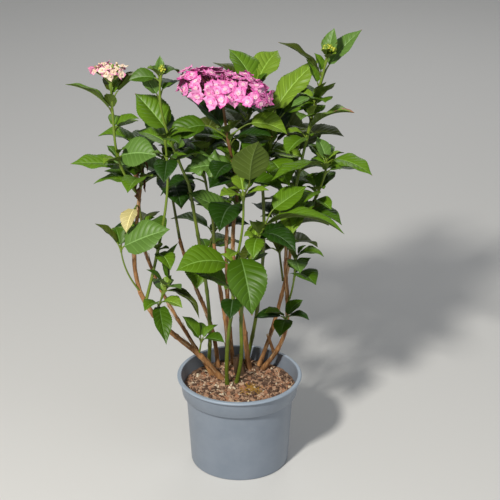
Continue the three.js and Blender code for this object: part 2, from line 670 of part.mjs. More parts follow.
// A flower head: a neck and a smaller core that the rays stand out of, each with a floret on the dome
function flowerHead(head, bearer) {
  const random = stream(head.seed);
  const tip = bearer.line.getPoint(1);
  const tangent = bearer.line.getTangent(1);
  const root = tip.clone().addScaledVector(tangent, GAP);
  const middle = vector(head.middle);
  const reach = vector(head.reach);
  const coreReach = reach.clone().multiplyScalar(HEAD_CORE);
  const coreMiddle = middle.clone().setZ(middle.z + coreReach.z * head.low);
  const neckTop = coreMiddle.clone().setZ(coreMiddle.z - coreReach.z + NECK_SUNK);
  const neckBend = root.clone().addScaledVector(tangent, NECK_SUNK / 2);
  const neck = new THREE.QuadraticBezierCurve3(root, neckBend, neckTop);
  const core = new THREE.SphereGeometry(1, 8, 4).rotateX(Math.PI / 2);
  core.scale(coreReach.x, coreReach.y, coreReach.z).applyMatrix4(leanOf(head));
  core.translate(coreMiddle.x, coreMiddle.y, coreMiddle.z);
  const parts = [core, tube(neck, () => bearer.radiusAt(1), 5, 2)];
  for (let k = 0; k < head.florets; k += 1) {
    const height = mix(1, head.low, (k + 0.5) / head.florets);
    const level = Math.sqrt(1 - height * height);
    const turn = GOLDEN_TURN * k;
    const out = new THREE.Vector3(level * Math.cos(turn), level * Math.sin(turn), height);
    const offset = out.clone().multiply(reach).multiplyScalar(mix(...FLORET_DEPTHS, random()));
    const at = offset.applyMatrix4(leanOf(head)).add(middle);
    const facing = out.clone().divide(reach);
    facing.setX(facing.x + head.lean * facing.z).normalize();
    const foot = at.clone().sub(coreMiddle).multiplyScalar(HEAD_CORE * RAY_FOOT).add(coreMiddle);
    parts.push(floret(foot, at, facing, head.petal * mix(...PETAL_SIZES, random()), random() * Math.PI));
  }
  return fused(parts);
}

// The pot: up the outside by its base, shoulder, band and lip, then down its inside, with its holes cut
function pot() {
  const lipFoot = POT_HEIGHT - POT_LIP_HEIGHT;
  const profile = [
    [0, 0],
    [POT_BASE_RADIUS - POT_EDGE, 0],
    [POT_BASE_RADIUS, POT_EDGE],
    [POT_SHOULDER_RADIUS, POT_SHOULDER_HEIGHT],
    [POT_BAND_FOOT_RADIUS, POT_SHOULDER_HEIGHT + POT_EDGE],
    [POT_BAND_TOP_RADIUS, lipFoot],
    [POT_LIP_RADIUS, lipFoot + POT_LIP_FALL],
    [POT_LIP_RADIUS, POT_HEIGHT - POT_LIP_ROUND],
    [POT_LIP_RADIUS - POT_LIP_ROUND, POT_HEIGHT],
    [POT_BAND_TOP_RADIUS - POT_WALL, POT_HEIGHT],
    [POT_BAND_FOOT_RADIUS - POT_WALL, POT_SHOULDER_HEIGHT + 2 * POT_EDGE],
    [POT_SHOULDER_RADIUS - POT_WALL, POT_SHOULDER_HEIGHT + POT_EDGE],
    [POT_BASE_RADIUS - POT_WALL, POT_FLOOR],
    [0, POT_FLOOR],
  ];
  const points = profile.map(([radius, height]) => new THREE.Vector2(radius, height));
  const shell = new THREE.LatheGeometry(points, POT_SIDES).rotateX(Math.PI / 2);
  let solid = solidOf(shell);
  for (let k = 0; k < DRAIN_HOLES; k += 1) {
    const turn = (2 * Math.PI * (k + 0.5)) / DRAIN_HOLES;
    const depth = 4 * POT_FLOOR;
    const hole = new THREE.CylinderGeometry(DRAIN_HOLE_RADIUS, DRAIN_HOLE_RADIUS, depth, DRAIN_HOLE_SIDES);
    hole.rotateX(Math.PI / 2);
    hole.translate(DRAIN_HOLE_CIRCLE * Math.cos(turn), DRAIN_HOLE_CIRCLE * Math.sin(turn), 0);
    solid = solid.subtract(solidOf(hole));
  }
  return geometryOf(solid);
}

// The compost, a little smaller than the pot's inside all round
function compost() {
  const inside = POT_WALL + COMPOST_CLEARANCE;
  const bandHeight = POT_HEIGHT - POT_LIP_HEIGHT - POT_SHOULDER_HEIGHT;
  const bandShare = (COMPOST_TOP - POT_SHOULDER_HEIGHT) / bandHeight;
  const edge = mix(POT_BAND_FOOT_RADIUS, POT_BAND_TOP_RADIUS, bandShare) - inside - COMPOST_CLEARANCE;
  const profile = [
    [0, POT_FLOOR + GAP],
    [POT_BASE_RADIUS - inside, POT_FLOOR + GAP],
    [POT_SHOULDER_RADIUS - inside, POT_SHOULDER_HEIGHT + POT_EDGE + GAP],
    [POT_BAND_FOOT_RADIUS - inside - COMPOST_CLEARANCE, POT_SHOULDER_HEIGHT + 2.5 * POT_EDGE],
    [edge, COMPOST_TOP - COMPOST_LUMP],
    [edge - COMPOST_EDGE_WIDTH, COMPOST_TOP],
    [COMPOST_FLAT_RADIUS, COMPOST_TOP],
    [0, COMPOST_TOP],
  ];
  const points = profile.map(([radius, height]) => new THREE.Vector2(radius, height));
  const geometry = new THREE.LatheGeometry(points, POT_SIDES).rotateX(Math.PI / 2);
  const position = geometry.attributes.position;
  for (let i = 0; i < position.count; i += 1) {
    const radius = Math.hypot(position.getX(i), position.getY(i));
    const turn = Math.atan2(position.getY(i), position.getX(i));
    if (radius > COMPOST_FLAT_RADIUS + 1 && position.getZ(i) > COMPOST_TOP - 1) {
      position.setZ(i, COMPOST_TOP + COMPOST_LUMP * Math.sin(turn * 7 + 1) * Math.cos(turn * 4));
    }
  }
  return geometry;
}

const plant = new THREE.Group();

function place(name, geometry, finish) {
  const material = new THREE.MeshStandardMaterial({ ...FINISHES[finish], metalness: 0 });
  const mesh = new THREE.Mesh(geometry, material);
  mesh.name = name;
  plant.add(mesh);
}

place('pot', pot(), 'pot');
place('compost', compost(), 'compost');

// Every limb and stem by its name, and every shape that a leaf has to keep off
const stems = {};
const taken = [];

// Limbs first, so that every leaf can keep off them
for (const [name, spec] of Object.entries(LIMBS)) {
  stems[name] = stemOf(spec, stems);
  const { line, radiusAt, cut } = stems[name];
  const finish = name.startsWith('green') ? 'green_stem' : 'bark';
  place(name, tube(line, radiusAt, LIMB_SIDES, LIMB_STEPS, cut), finish);
  taken.push({ name, ...stemTestFaces(stems[name], LIMB_STEPS) });
}

// The stems of the masses next, then the leaves that have a place of their own, then the filling pairs
for (const [name, spec] of Object.entries(MASSES)) {
  stems[name] = stemOf(spec, stems);
  const { line, radiusAt, cut } = stems[name];
  stems[name].parts = [tube(line, radiusAt, SHOOT_SIDES, SHOOT_STEPS, cut)];
  taken.push({ name, stem: true, ...stemTestFaces(stems[name], SHOOT_STEPS) });
}

// Each flower head keeps a closed dome of the crown to itself
for (const [name, head] of Object.entries(HEADS)) {
  const dome = new THREE.SphereGeometry(1, 10, 6).rotateX(Math.PI / 2);
  dome.scale(head.reach[0] + head.petal, head.reach[1] + head.petal, head.reach[2] + HEAD_HEADROOM);
  dome.applyMatrix4(leanOf(head)).translate(...head.middle);
  taken.push({ name, ...facesOf(dome) });
}

function addLeaf(row, name) {
  const leaf = growLeaf(row, stems[name], name, taken);
  if (leaf) {
    stems[name].parts.push(leafSolid(leaf));
  }
}

for (const [name, spec] of Object.entries(MASSES)) {
  spec.leaves.forEach((row) => addLeaf(row, name));
}
const random = stream(PAIR_SEED);
for (const [name, spec] of Object.entries(MASSES)) {
  if (spec.pairs) {
    pairRows(spec.pairs, random).forEach((row) => addLeaf(row, name));
  }
}
for (const name of Object.keys(MASSES)) {
  place(name, fused(stems[name].parts), 'leaf');
}

for (const [name, head] of Object.entries(HEADS)) {
  place(name, flowerHead(head, stems[head.on]), head.colour);
}

export default plant;
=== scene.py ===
"""Looks for a young mophead hydrangea in its nursery pot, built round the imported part.

The plant's rule works in millimetres, as the part's source does, and every mesh is made in metres.
"""
import json
import math

import bpy
import numpy as np
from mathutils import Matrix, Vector, noise

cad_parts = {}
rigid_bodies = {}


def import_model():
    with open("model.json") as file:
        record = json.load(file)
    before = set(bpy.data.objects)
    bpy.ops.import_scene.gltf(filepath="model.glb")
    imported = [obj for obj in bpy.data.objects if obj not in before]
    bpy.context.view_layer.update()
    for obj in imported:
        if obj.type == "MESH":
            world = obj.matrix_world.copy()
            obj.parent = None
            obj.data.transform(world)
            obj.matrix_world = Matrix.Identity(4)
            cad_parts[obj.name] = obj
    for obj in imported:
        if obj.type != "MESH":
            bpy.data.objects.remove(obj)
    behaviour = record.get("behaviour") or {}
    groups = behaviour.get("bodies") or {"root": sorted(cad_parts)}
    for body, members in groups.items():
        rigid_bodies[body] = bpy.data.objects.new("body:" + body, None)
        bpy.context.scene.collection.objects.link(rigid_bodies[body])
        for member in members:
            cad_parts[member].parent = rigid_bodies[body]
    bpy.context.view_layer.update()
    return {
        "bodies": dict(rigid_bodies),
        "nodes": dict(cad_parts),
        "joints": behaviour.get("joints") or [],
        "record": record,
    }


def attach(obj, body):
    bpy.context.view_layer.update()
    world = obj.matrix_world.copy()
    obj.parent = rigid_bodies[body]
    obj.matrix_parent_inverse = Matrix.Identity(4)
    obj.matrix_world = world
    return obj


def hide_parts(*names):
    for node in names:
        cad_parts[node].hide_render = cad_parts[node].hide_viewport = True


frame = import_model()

MM = 0.001
BODY = "root"

# Pot, in millimetres
POT_HEIGHT = 145
POT_BASE_RADIUS = 75
POT_SHOULDER_HEIGHT = 115
POT_SHOULDER_RADIUS = 81.5
POT_BAND_FOOT_RADIUS = 87.5
POT_BAND_TOP_RADIUS = 91
POT_LIP_RADIUS = 95
POT_LIP_HEIGHT = 4
POT_WALL = 2.4
POT_FLOOR = 3
POT_SIDES = 144
POT_EDGE = 1.5
DRAIN_HOLES = 8
DRAIN_HOLE_RADIUS = 6
DRAIN_HOLE_CIRCLE = 58

# Compost
COMPOST_TOP = 124
COMPOST_RADIUS = 85
COMPOST_RINGS = 60
COMPOST_SIDES = 150

# Clearance between neighbouring solids
GAP = 0.3

# Limits that no leaf may pass
CROWN = {"left": -246, "right": 192, "front": -165, "back": 178, "top": 692, "bottom": 152}
POT_CLEAR_RADIUS = 100
CROWN_SKIRT = 132

# Leaves
LEAF_WIDTH = 0.7
LEAF_FOLD = 20
LEAF_OUTLINE_SKEW = 0.85
LEAF_OUTLINE_FULLNESS = 0.8
STALK_LIFT = 25
STALK_LIFT_LEAST = 10
STALK_LIFT_MOST = 65
STALK_RADIUS = 1.25
STALK_ROOT_DEPTH = 0.55
STALK_HIGHEST = 0.95

# Sides and steps of the shapes that leaves are tested against
TEST_SIDES = 5
TEST_STALK_SIDES = 3
LIMB_STEPS = 9
SHOOT_STEPS = 6
BLADE_ROWS = 4
BLADE_COMPASS = ((-1, 0), (0, 1), (1, 0), (0, -1))
DOME_SIDES = 10
DOME_RINGS = 6

# How far a limb's foot flares, and over which share of its length
FLARE = 0.35
FLARE_SHARE = 0.1

# How the leaves of a filling pair vary
PAIR_SEED = 20
PAIR_TURNS = (-14, 14)
PAIR_RISES = (-8, 8)
PAIR_SIZES = (0.9, 1.08)
PAIR_DROOPS = (30, 60)
PAIR_STALK = 0.2

# Clearances that a leaf is tested with
TEST_GROWTH = 1.07
TEST_THICKNESS = 3.2
TEST_STEM_MARGIN = 1.1

# Changes that a leaf tries in turn when its first place is taken: turn, rise, size
NUDGES = (
    (0, 0, 1), (12, 0, 1), (-12, 0, 1), (0, 12, 1), (0, -12, 1), (22, 8, 0.94), (-22, 8, 0.94),
    (22, -12, 0.9), (-22, -12, 0.9), (40, 6, 0.86), (-40, 6, 0.86), (0, 26, 0.84), (0, -26, 0.84),
)

# The bow or sway of a line that has none
STRAIGHT = (0, 0, 0)

# A line that runs along an axis by this share or more takes another axis for its reference
ALONG_AXIS = 0.8

# A bend and a slope that count as none
TINY = 1e-6
FLAT_SLOPE = 1e-12

# Canes and bare green stems
LIMBS = {
    "left_cane": dict(foot=(-28, 20), end=(-148, 0, 282), bow=(-5, 0, -3), sway=(4, 0, 3), girth=(9, 7.4)),
    "left_cane_top": dict(on="left_cane", at=1, end=(-145, 24, 438), bow=(-8, 0, 0), sway=(-2, 0, 0),
                          girth=(6.8, 5.2)),
    "left_back_cane": dict(foot=(-42, 32), end=(-143, 40, 337), bow=(-6, 2, -5), sway=(2, 0, 0),
                           girth=(6.4, 4.6)),
    "old_stump": dict(foot=(1, 35), end=(-3, 38, 154), girth=(19, 15)),
    "centre_cane": dict(foot=(14, 53), end=(-8, 15, 389), bow=(-5, 0, 0), sway=(3, 0, 0), girth=(8.4, 5.8)),
    "inner_cane": dict(foot=(-20, 44), end=(-38, 38, 345), bow=(4, 4, 0), sway=(2, 0, 0), girth=(6.4, 5)),
    "right_cane": dict(foot=(34, 50), end=(72, 20, 383), bow=(20, 0, -6), sway=(8, 0, -2), girth=(7.2, 5)),
    "green_stem_a": dict(foot=(-19, 3), end=(-9, -22, 268), bow=(-4, 0, 0), girth=(6.2, 5.2)),
    "green_stem_b": dict(foot=(-5, 7), end=(9, -28, 300), bow=(1, 0, 0), sway=(3, 0, 0), girth=(6, 5)),
    "green_stem_c": dict(foot=(-49, 45), end=(-73, 4, 455), bow=(10, 0, 0), sway=(2, 0, 0), girth=(6, 4.8)),
    "green_stem_d": dict(foot=(10, 70), end=(34, 46, 440), bow=(12, 10, 0), girth=(6, 4.6)),
    "rear_left_cane": dict(foot=(-34, 57), end=(-92, 92, 330), bow=(4, 8, 0), sway=(4, 0, 0), girth=(7, 5)),
    "rear_middle_cane": dict(foot=(-10, 65), end=(-18, 104, 372), bow=(-6, 8, 0), sway=(0, 4, 0),
                             girth=(7, 5)),
    "rear_right_cane": dict(foot=(30, 62), end=(80, 98, 322), bow=(8, 10, 0), girth=(7, 5)),
}

# Masses of leaves. A leaf row says how far up the stem it grows, its compass turn, its stalk's
# length, its rise, its droop, its blade's length and how far the blade rolls, if it does. Pairs of
# leaves then fill the stem.
MASSES = {
    "upper_middle_leaves": dict(
        on="green_stem_d", at=1, end=(48, 22, 556), bow=(4, 0, 0), girth=(4.2, 3), tones="crown",
        leaves=(
            (1, 35, 8, 46, 16, 104, 5), (0.98, 118, 10, 42, 40, 70), (0.74, 12, 30, 28, 36, 72, 15),
            (0.42, 55, 22, 70, 10, 78), (0.35, 352, 26, 40, 90, 74), (0.6, 168, 6, 14, 20, 42, -25),
            (0.42, 352, 6, 14, 24, 46, 25), (0.5, 75, 5, 60, 10, 28), (0.2, 120, 14, 15, 50, 84),
            (0.2, 300, 12, 15, 60, 46), (0.94, 250, 10, 38, 40, 44),
        ),
        pairs=dict(start=0.05, stop=0.8, count=4, turn=30, size=(74, 62), rise=(5, 30)),
    ),
    "green_shoot_a": dict(
        on="green_stem_a", at=1, end=(6, -60, 468), bow=(1, 0, 0), sway=(-3, 0, 0), girth=(5, 3),
        tones="front",
        leaves=(
            (0.46, 284, 16, -12, 60, 96), (0.33, 206, 18, 22, 40, 82, -25), (0.1, 192, 20, 44, 36, 72, -20),
            (0.06, 265, 8, 10, 60, 44), (0.98, 315, 30, 85, 20, 68, -30), (0.94, 228, 12, 24, 22, 42),
            (0.99, 330, 6, 40, 30, 38), (0.95, 100, 8, 40, 40, 42),
        ),
    ),
    "green_shoot_b": dict(
        on="green_stem_b", at=1, end=(37, -50, 411), bow=(-5, 0, 2), girth=(4.8, 3), tones="front",
        leaves=(
            (0.97, 345, 6, 38, 78, 126, -10), (0.8, 314, 8, 30, 70, 76), (0.78, 262, 9, 6, 60, 42),
            (1, 22, 30, 36, 16, 60, 20), (0.3, 60, 10, 20, 50, 46), (0.62, 30, 14, 26, 50, 64),
        ),
    ),
    "centre_leaves": dict(
        on="centre_cane", at=1, end=(-22, -8, 578), bow=(7, 0, 0), sway=(3, 0, 0), girth=(5.2, 4),
        tones="front", brown=True,
        leaves=(
            (0.01, 200, 14, 38, 12, 76, -35), (0.3, 250, 14, 30, 40, 66), (0.74, 185, 36, 8, 56, 60, -25),
            (0.74, 10, 36, 8, 50, 58, 20), (0.7, 150, 20, 46, 34, 82), (0.32, 110, 16, 20, 50, 84),
            (0.44, 195, 6, 26, 50, 74, -30),
        ),
        pairs=dict(start=0.12, stop=0.66, count=4, turn=65, size=(72, 60), rise=(5, 30)),
    ),
    "inner_left_leaves": dict(
        on="inner_cane", at=1, end=(-52, 22, 500), sway=(2, 0, 0), girth=(4.4, 2.8), tones="shade",
        leaves=(
            (0.77, 316, 8, 36, 32, 82), (0.8, 150, 10, 30, 40, 76), (1, 70, 8, 55, 35, 66),
            (1, 245, 8, 40, 50, 62), (0.3, 120, 12, 15, 50, 62), (0.32, 60, 10, 18, 60, 58),
        ),
        pairs=dict(start=0.66, stop=0.98, count=3, turn=20, size=(66, 56), rise=(10, 40)),
    ),
    "left_foot_leaves": dict(
        on="left_cane", at=0.3, end=(-58, 6, 196), girth=(3, 2.2), tones="low",
        leaves=((0.95, 170, 6, 60, 12, 44, -10), (0.9, 330, 8, 30, 50, 38), (1, 80, 8, 45, 40, 38)),
    ),
    "left_low_leaves": dict(
        on="left_cane", at=0.78, end=(-108, -22, 300), bow=(-2, 0, -4), girth=(3.6, 2.6), tones="low",
        leaves=(
            (0.95, 27, 15, 90, 30, 59), (0.96, 296, 5, 30, 20, 61), (0.84, 322, 7, 33, 90, 76),
            (0.4, 282, 6, -4, 50, 72), (1, 140, 8, 60, 40, 40), (0.7, 100, 8, 20, 50, 48),
        )),
    "left_thin_stalk_leaves": dict(
        on="left_cane_top", at=0.03, end=(-172, -30, 368), bow=(-5, 0, -2), girth=(3, 2.2), tones="left",
        leaves=((1, 350, 6, 32, 14, 78, 42), (1, 170, 11, 51, 20, 44), (0.92, 75, 9, 30, 40, 52)),
    ),
    "left_green_shoot": dict(
        on="left_cane", at=0.93, end=(-105, -35, 545), bow=(13, 0, 0), sway=(-2, 0, 0), girth=(5, 3),
        tones="left",
        leaves=(
            (0.28, 298, 6, 14, 60, 44), (0.84, 268, 8, 8, 50, 54), (0.98, 300, 6, 30, 40, 40),
            (0.8, 60, 12, 20, 40, 58), (1, 20, 8, 30, 50, 42),
        ),
    ),
    "left_top_leaves": dict(
        on="left_cane_top", at=1, end=(-141, 32, 486), bow=(1, 0, 0), girth=(4.4, 2.6), tones="left",
        leaves=(
            (0.9, 178, 22, 50, 70, 60), (0.1, 120, 12, 30, 50, 56), (0.2, 255, 12, 22, 50, 54),
            (0.5, 185, 16, 10, 30, 42, -30), (0.9, 90, 12, 30, 45, 62), (0.5, 110, 12, 15, 50, 60),
        ),
    ),
    "left_dead_leaf": dict(
        on="left_cane_top", at=0.84, end=(-152, 4, 415), bow=(0, 0, 3), girth=(2.4, 2), tones="dead",
        leaves=((0.95, 251, 3, -14, 50, 42),)),
    "young_flower_shoot": dict(
        on="left_cane_top", at=0.95, end=(-179, -14, 611), bow=(-14, 0, -4), sway=(-3, 0, 0), girth=(4.2, 3),
        tones="left",
        leaves=(
            (0.76, 192, 8, 58, 50, 76), (0.85, 15, 18, 50, 0, 44),
            (0.28, 190, 6, 14, 20, 68, -20), (0.36, 2, 5, 34, 30, 64, 40), (0.6, 50, 8, 10, 25, 44),
            (0.88, 72, 8, 34, 40, 50), (0.93, 150, 10, 30, 30, 48, -20), (0.06, 186, 6, 36, 66, 58, -10),
        ),
    ),
    "left_back_leaves": dict(
        on="left_back_cane", at=1, end=(-152, 62, 420), bow=(0, 4, 0), girth=(4, 2.8), tones="back",
        leaves=((0.15, 150, 12, 15, 50, 50),),
        pairs=dict(start=0.3, stop=1, count=2, turn=95, size=(64, 52), rise=(15, 45)),
    ),
    "mid_left_leaves": dict(
        on="green_stem_c", at=1, end=(-108, -22, 628), bow=(-12, 0, 0), sway=(2, 0, 0), girth=(4.6, 2.8),
        tones="crown",
        leaves=(
            (0.42, 150, 14, 50, 18, 68, -22), (0.76, 158, 10, 46, 18, 45, -25),
            (0.94, 182, 8, 14, 40, 38, -30), (1, 20, 6, 40, 110, 38), (1, 80, 6, 78, 10, 28),
            (0.8, 46, 12, 30, 45, 54),
            (0.5, 60, 14, 22, 50, 78), (0.22, 150, 16, 12, 50, 80), (0.22, 60, 14, 14, 55, 60),
        ),
    ),
    "right_low_leaves": dict(
        on="right_cane", at=0.34, end=(70, 7, 234), bow=(0, 0, -2), girth=(3, 2.2), tones="low",
        leaves=(
            (0.9, 258, 6, 8, 40, 44), (1, 330, 6, 30, 50, 38), (0.95, 190, 8, 16, 30, 42),
            (1, 60, 6, 40, 40, 38),
        ),
    ),
    "right_side_leaves": dict(
        on="right_cane", at=0.52, end=(84, 6, 336), bow=(2, 0, -4), girth=(3.4, 2.4), tones="right",
        leaves=(
            (1, 350, 8, 40, 80, 42), (0.9, 276, 8, 22, 46, 46), (0.55, 300, 10, 36, 60, 60),
            (1, 120, 8, 40, 45, 44), (0.6, 100, 10, 20, 55, 48),
        ),
    ),
    "right_middle_leaves": dict(
        on="right_cane", at=0.97, end=(128, 6, 492), bow=(10, 0, -6), girth=(4.6, 2.8), tones="right",
        leaves=(
            (0.95, 334, 14, 14, 44, 70, 12), (1, 120, 6, 55, 20, 36), (0.62, 196, 12, 10, 40, 68),
            (0.45, 240, 10, 0, 50, 58), (0.9, 206, 10, 18, 40, 96, 16), (1, 168, 8, 44, 60, 64),
            (0.9, 100, 12, 24, 50, 60), (0.55, 110, 14, 15, 55, 62),
        ),
        pairs=dict(start=0.25, stop=0.8, count=3, turn=160, size=(60, 50), rise=(5, 35)),
    ),
    "right_top_leaves": dict(
        on="right_cane", at=1, end=(127, 20, 648), bow=(-2, 0, 0), girth=(4.8, 3), tones="right",
        leaves=(
            (0.8, 28, 32, 44, 8, 72, 10), (0.86, 188, 6, 58, 40, 79), (1, 50, 5, 74, 10, 42),
            (0.54, 330, 12, 50, 50, 78), (0.7, 312, 8, 52, 16, 52), (0.95, 300, 5, 50, 20, 26),
            (0.8, 140, 6, 40, 20, 46), (0.74, 200, 8, 16, 20, 38), (0.7, 272, 8, 32, 32, 50),
            (0.7, 110, 12, 24, 45, 78), (0.6, 60, 10, 30, 40, 58), (0.5, 240, 10, 10, 40, 52),
            (0.4, 150, 14, 20, 50, 84), (0.38, 60, 14, 15, 55, 62),
        ),
        pairs=dict(start=0.12, stop=0.6, count=3, turn=100, size=(68, 56), rise=(5, 35)),
    ),
    "rear_left_leaves": dict(
        on="rear_left_cane", at=1, end=(-116, 112, 470), bow=(0, 6, 0), girth=(4.6, 2.8), tones="back",
        leaves=(),
        pairs=dict(start=0.58, stop=1, count=3, turn=110, size=(80, 64), rise=(10, 50))),
    "rear_left_side_leaves": dict(
        on="rear_left_cane", at=0.62, end=(-40, 118, 330), bow=(0, 4, -6), girth=(3.8, 2.6), tones="back",
        leaves=(),
        pairs=dict(start=0.6, stop=1, count=2, turn=75, size=(72, 60), rise=(10, 35))),
    "rear_middle_leaves": dict(
        on="rear_middle_cane", at=1, end=(26, 70, 586), bow=(0, 12, 0), girth=(4.8, 2.8), tones="back",
        leaves=((0.97, 135, 8, 50, 24, 66), (1, 60, 8, 38, 22, 72), (0.9, 168, 8, 48, 30, 70)),
        pairs=dict(start=0.22, stop=0.84, count=5, turn=80, size=(90, 70), rise=(5, 40)),
    ),
    "rear_right_leaves": dict(
        on="rear_right_cane", at=1, end=(86, 100, 480), bow=(4, 6, 0), girth=(4.6, 2.8), tones="back",
        leaves=(),
        pairs=dict(start=0.12, stop=1, count=6, turn=45, size=(60, 74), rise=(5, 50)),
    ),
    "rear_right_side_leaves": dict(
        on="rear_right_cane", at=0.66, end=(56, 120, 352), bow=(0, 4, -6), girth=(3.8, 2.6), tones="back",
        leaves=(),
        pairs=dict(start=0.5, stop=1, count=2, turn=45, size=(70, 58), rise=(10, 35)),
    ),
}

# Flower heads
HEADS = {
    "pink_flower_head": dict(
        on="centre_leaves", middle=(-19, -12, 604), reach=(59, 42, 25), low=-0.25, lean=0.15, petal=12.5,
        seed=41, florets=84, slot="pink_petals",
    ),
    "young_flower_head": dict(
        on="young_flower_shoot", middle=(-182, -15, 629), reach=(25, 20, 12), low=-0.05, lean=0, petal=7.5,
        seed=57, florets=24, slot="cream_petals",
    ),
}
GOLDEN_TURN = math.pi * (3 - math.sqrt(5))
HEAD_HEADROOM = 4


# The rule of growth, as in the part's source

STREAM_STEP = 0x6D2B79F5
STREAM_SPAN = 2 ** 32


def stream(seed):
    """A repeatable stream of numbers from 0 to 1."""
    mask = STREAM_SPAN - 1
    state = seed & mask

    def draw():
        nonlocal state
        state = (state + STREAM_STEP) & mask
        mixed = ((state ^ (state >> 15)) * (state | 1)) & mask
        mixed = ((mixed + ((mixed ^ (mixed >> 7)) * (mixed | 61))) & mask) ^ mixed
        return ((mixed ^ (mixed >> 14)) & mask) / STREAM_SPAN

    return draw


def mix(a, b, share):
    return a + (b - a) * share


def unit(vector):
    return vector / np.linalg.norm(vector)


def heading(turn, rise):
    """A direction from its compass turn and its rise above the horizontal, in degrees."""
    around, up = math.radians(turn), math.radians(rise)
    return np.array((math.cos(up) * math.cos(around), math.cos(up) * math.sin(around), math.sin(up)))


def angles_round(sides):
    """The turns of a ring's corners, in radians."""
    return 2 * math.pi * np.arange(sides) / sides


class StemLine:
    """A stem's middle line: straight from start to end, with one bow and one sway."""

    TANGENT_STEP = 0.0001

    def __init__(self, start, end, bow, sway):
        self.start, self.end, self.bow, self.sway = (np.array(v, float) for v in (start, end, bow, sway))

    def point(self, share):
        straight = self.start + (self.end - self.start) * share
        return straight + self.bow * (4 * share * (1 - share)) + self.sway * math.sin(2 * math.pi * share)

    def tangent(self, share):
        low, high = max(0.0, share - self.TANGENT_STEP), min(1.0, share + self.TANGENT_STEP)
        return unit(self.point(high) - self.point(low))


class Stem:
    """A named limb or a mass's stem: its line and its radius at each share of its length."""

    def __init__(self, spec, carriers):
        end = np.array(spec["end"], float)
        self.radii = [girth / 2 for girth in spec["girth"]]
        self.flared = "foot" in spec
        if self.flared:
            start = np.array((*spec["foot"], COMPOST_TOP + GAP), float)
        else:
            start = seat(carriers[spec["on"]], spec["at"], end)
        self.line = StemLine(start, end, spec.get("bow", STRAIGHT), spec.get("sway", STRAIGHT))

    def radius(self, share):
        flare = FLARE * max(0.0, 1 - share / FLARE_SHARE) ** 2 if self.flared else 0.0
        return mix(*self.radii, share) * (1 + flare)


def seat(limb, share, end):
    """Where a shoot carries on from its limb's tip, or leaves the limb's side."""
    at = limb.line.point(share)
    tangent = limb.line.tangent(share)
    if share >= 1:
        return at + tangent * GAP
    toward = end - at
    outward = unit(toward - tangent * toward.dot(tangent))
    return at + outward * (limb.radius(share) + GAP)


def reference_for(run):
    """An axis that a line doesn't run along."""
    return np.array((0.0, 1.0, 0.0)) if abs(unit(run)[1]) < ALONG_AXIS else np.array((1.0, 0.0, 0.0))


def ring_points(centre, tangent, reference, radius, sides):
    """The corners of a tube's ring, square to its line."""
    across = unit(np.cross(tangent, reference))
    other = np.cross(across, tangent)
    angles = angles_round(sides)
    return centre + radius * (np.outer(np.sin(angles), across) + np.outer(np.cos(angles), other))


def tube_shape(points, tangents, radii, sides):
    """The triangles of a closed test tube, its rings listed from the top down."""
    reference = reference_for(points[0] - points[-1])
    rings = [ring_points(p, t, reference, r, sides) for p, t, r in zip(points, tangents, radii)]
    faces = []
    for upper, lower in zip(rings, rings[1:]):
        for k in range(sides):
            n = (k + 1) % sides
            faces += [(upper[k], lower[k], upper[n]), (lower[k], lower[n], upper[n])]
    for centre, ring in ((points[0], rings[0]), (points[-1], rings[-1])):
        faces += [(centre, ring[k], ring[(k + 1) % sides]) for k in range(sides)]
    return np.array(faces)


def stem_shape(stem, steps):
    """The slightly thicker tube that keeps leaves off a limb or a stem."""
    shares = [1 - k / steps for k in range(steps + 1)]
    return tube_shape([stem.line.point(s) for s in shares], [stem.line.tangent(s) for s in shares],
                      [stem.radius(s) + TEST_STEM_MARGIN for s in shares], TEST_SIDES)


def stalk_shape(leaf):
    run = unit(leaf["base"] - leaf["skin"])
    radius = STALK_RADIUS + TEST_STEM_MARGIN
    return tube_shape([leaf["base"], leaf["skin"]], [run, run], [radius, radius], TEST_STALK_SIDES)


def sphere_shape(ring_at, sides, rings):
    """The triangles of a sphere's pattern, its corners given by a function of ring and side."""
    grid = [[ring_at(row, side % sides) for side in range(sides + 1)] for row in range(rings + 1)]
    faces = []
    for row in range(rings):
        for side in range(sides):
            a, b = grid[row][side + 1], grid[row][side]
            c, d = grid[row + 1][side], grid[row + 1][side + 1]
            if row:
                faces.append((a, b, d))
            if row < rings - 1:
                faces.append((b, c, d))
    return np.array(faces)


def leaning(offset, lean):
    """An offset from a head's middle, sheared so that the head's left side stands higher."""
    return offset - np.array((0, 0, lean * offset[0]))


def dome_shape(head):
    """The closed dome of the crown that a flower head keeps to itself."""
    scale = np.array(head["reach"], float) + (head["petal"], head["petal"], HEAD_HEADROOM)

    def corner(row, side):
        polar, around = math.pi * row / DOME_RINGS, 2 * math.pi * side / DOME_SIDES
        flat = np.array((-math.cos(around) * math.sin(polar), -math.sin(around) * math.sin(polar),
                         math.cos(polar)))
        return leaning(flat * scale, head["lean"]) + head["middle"]

    return sphere_shape(corner, DOME_SIDES, DOME_RINGS)


def midrib(leaf, share):
    """The leaf's middle line: an arc that starts at its rise and bends down by its droop."""
    start = math.radians(leaf["rise"])
    bend = math.radians(leaf["droop"]) * np.asarray(share, float)
    bend = np.where(np.abs(bend) < TINY, TINY, bend)
    out = (math.sin(start) - np.sin(start - bend)) / bend
    up = (np.cos(start - bend) - math.cos(start)) / bend
    run = leaf["length"] * np.asarray(share, float)
    turn = math.radians(leaf["turn"])
    offset = np.stack((run * out * math.cos(turn), run * out * math.sin(turn), run * up), -1)
    return leaf["base"] + offset


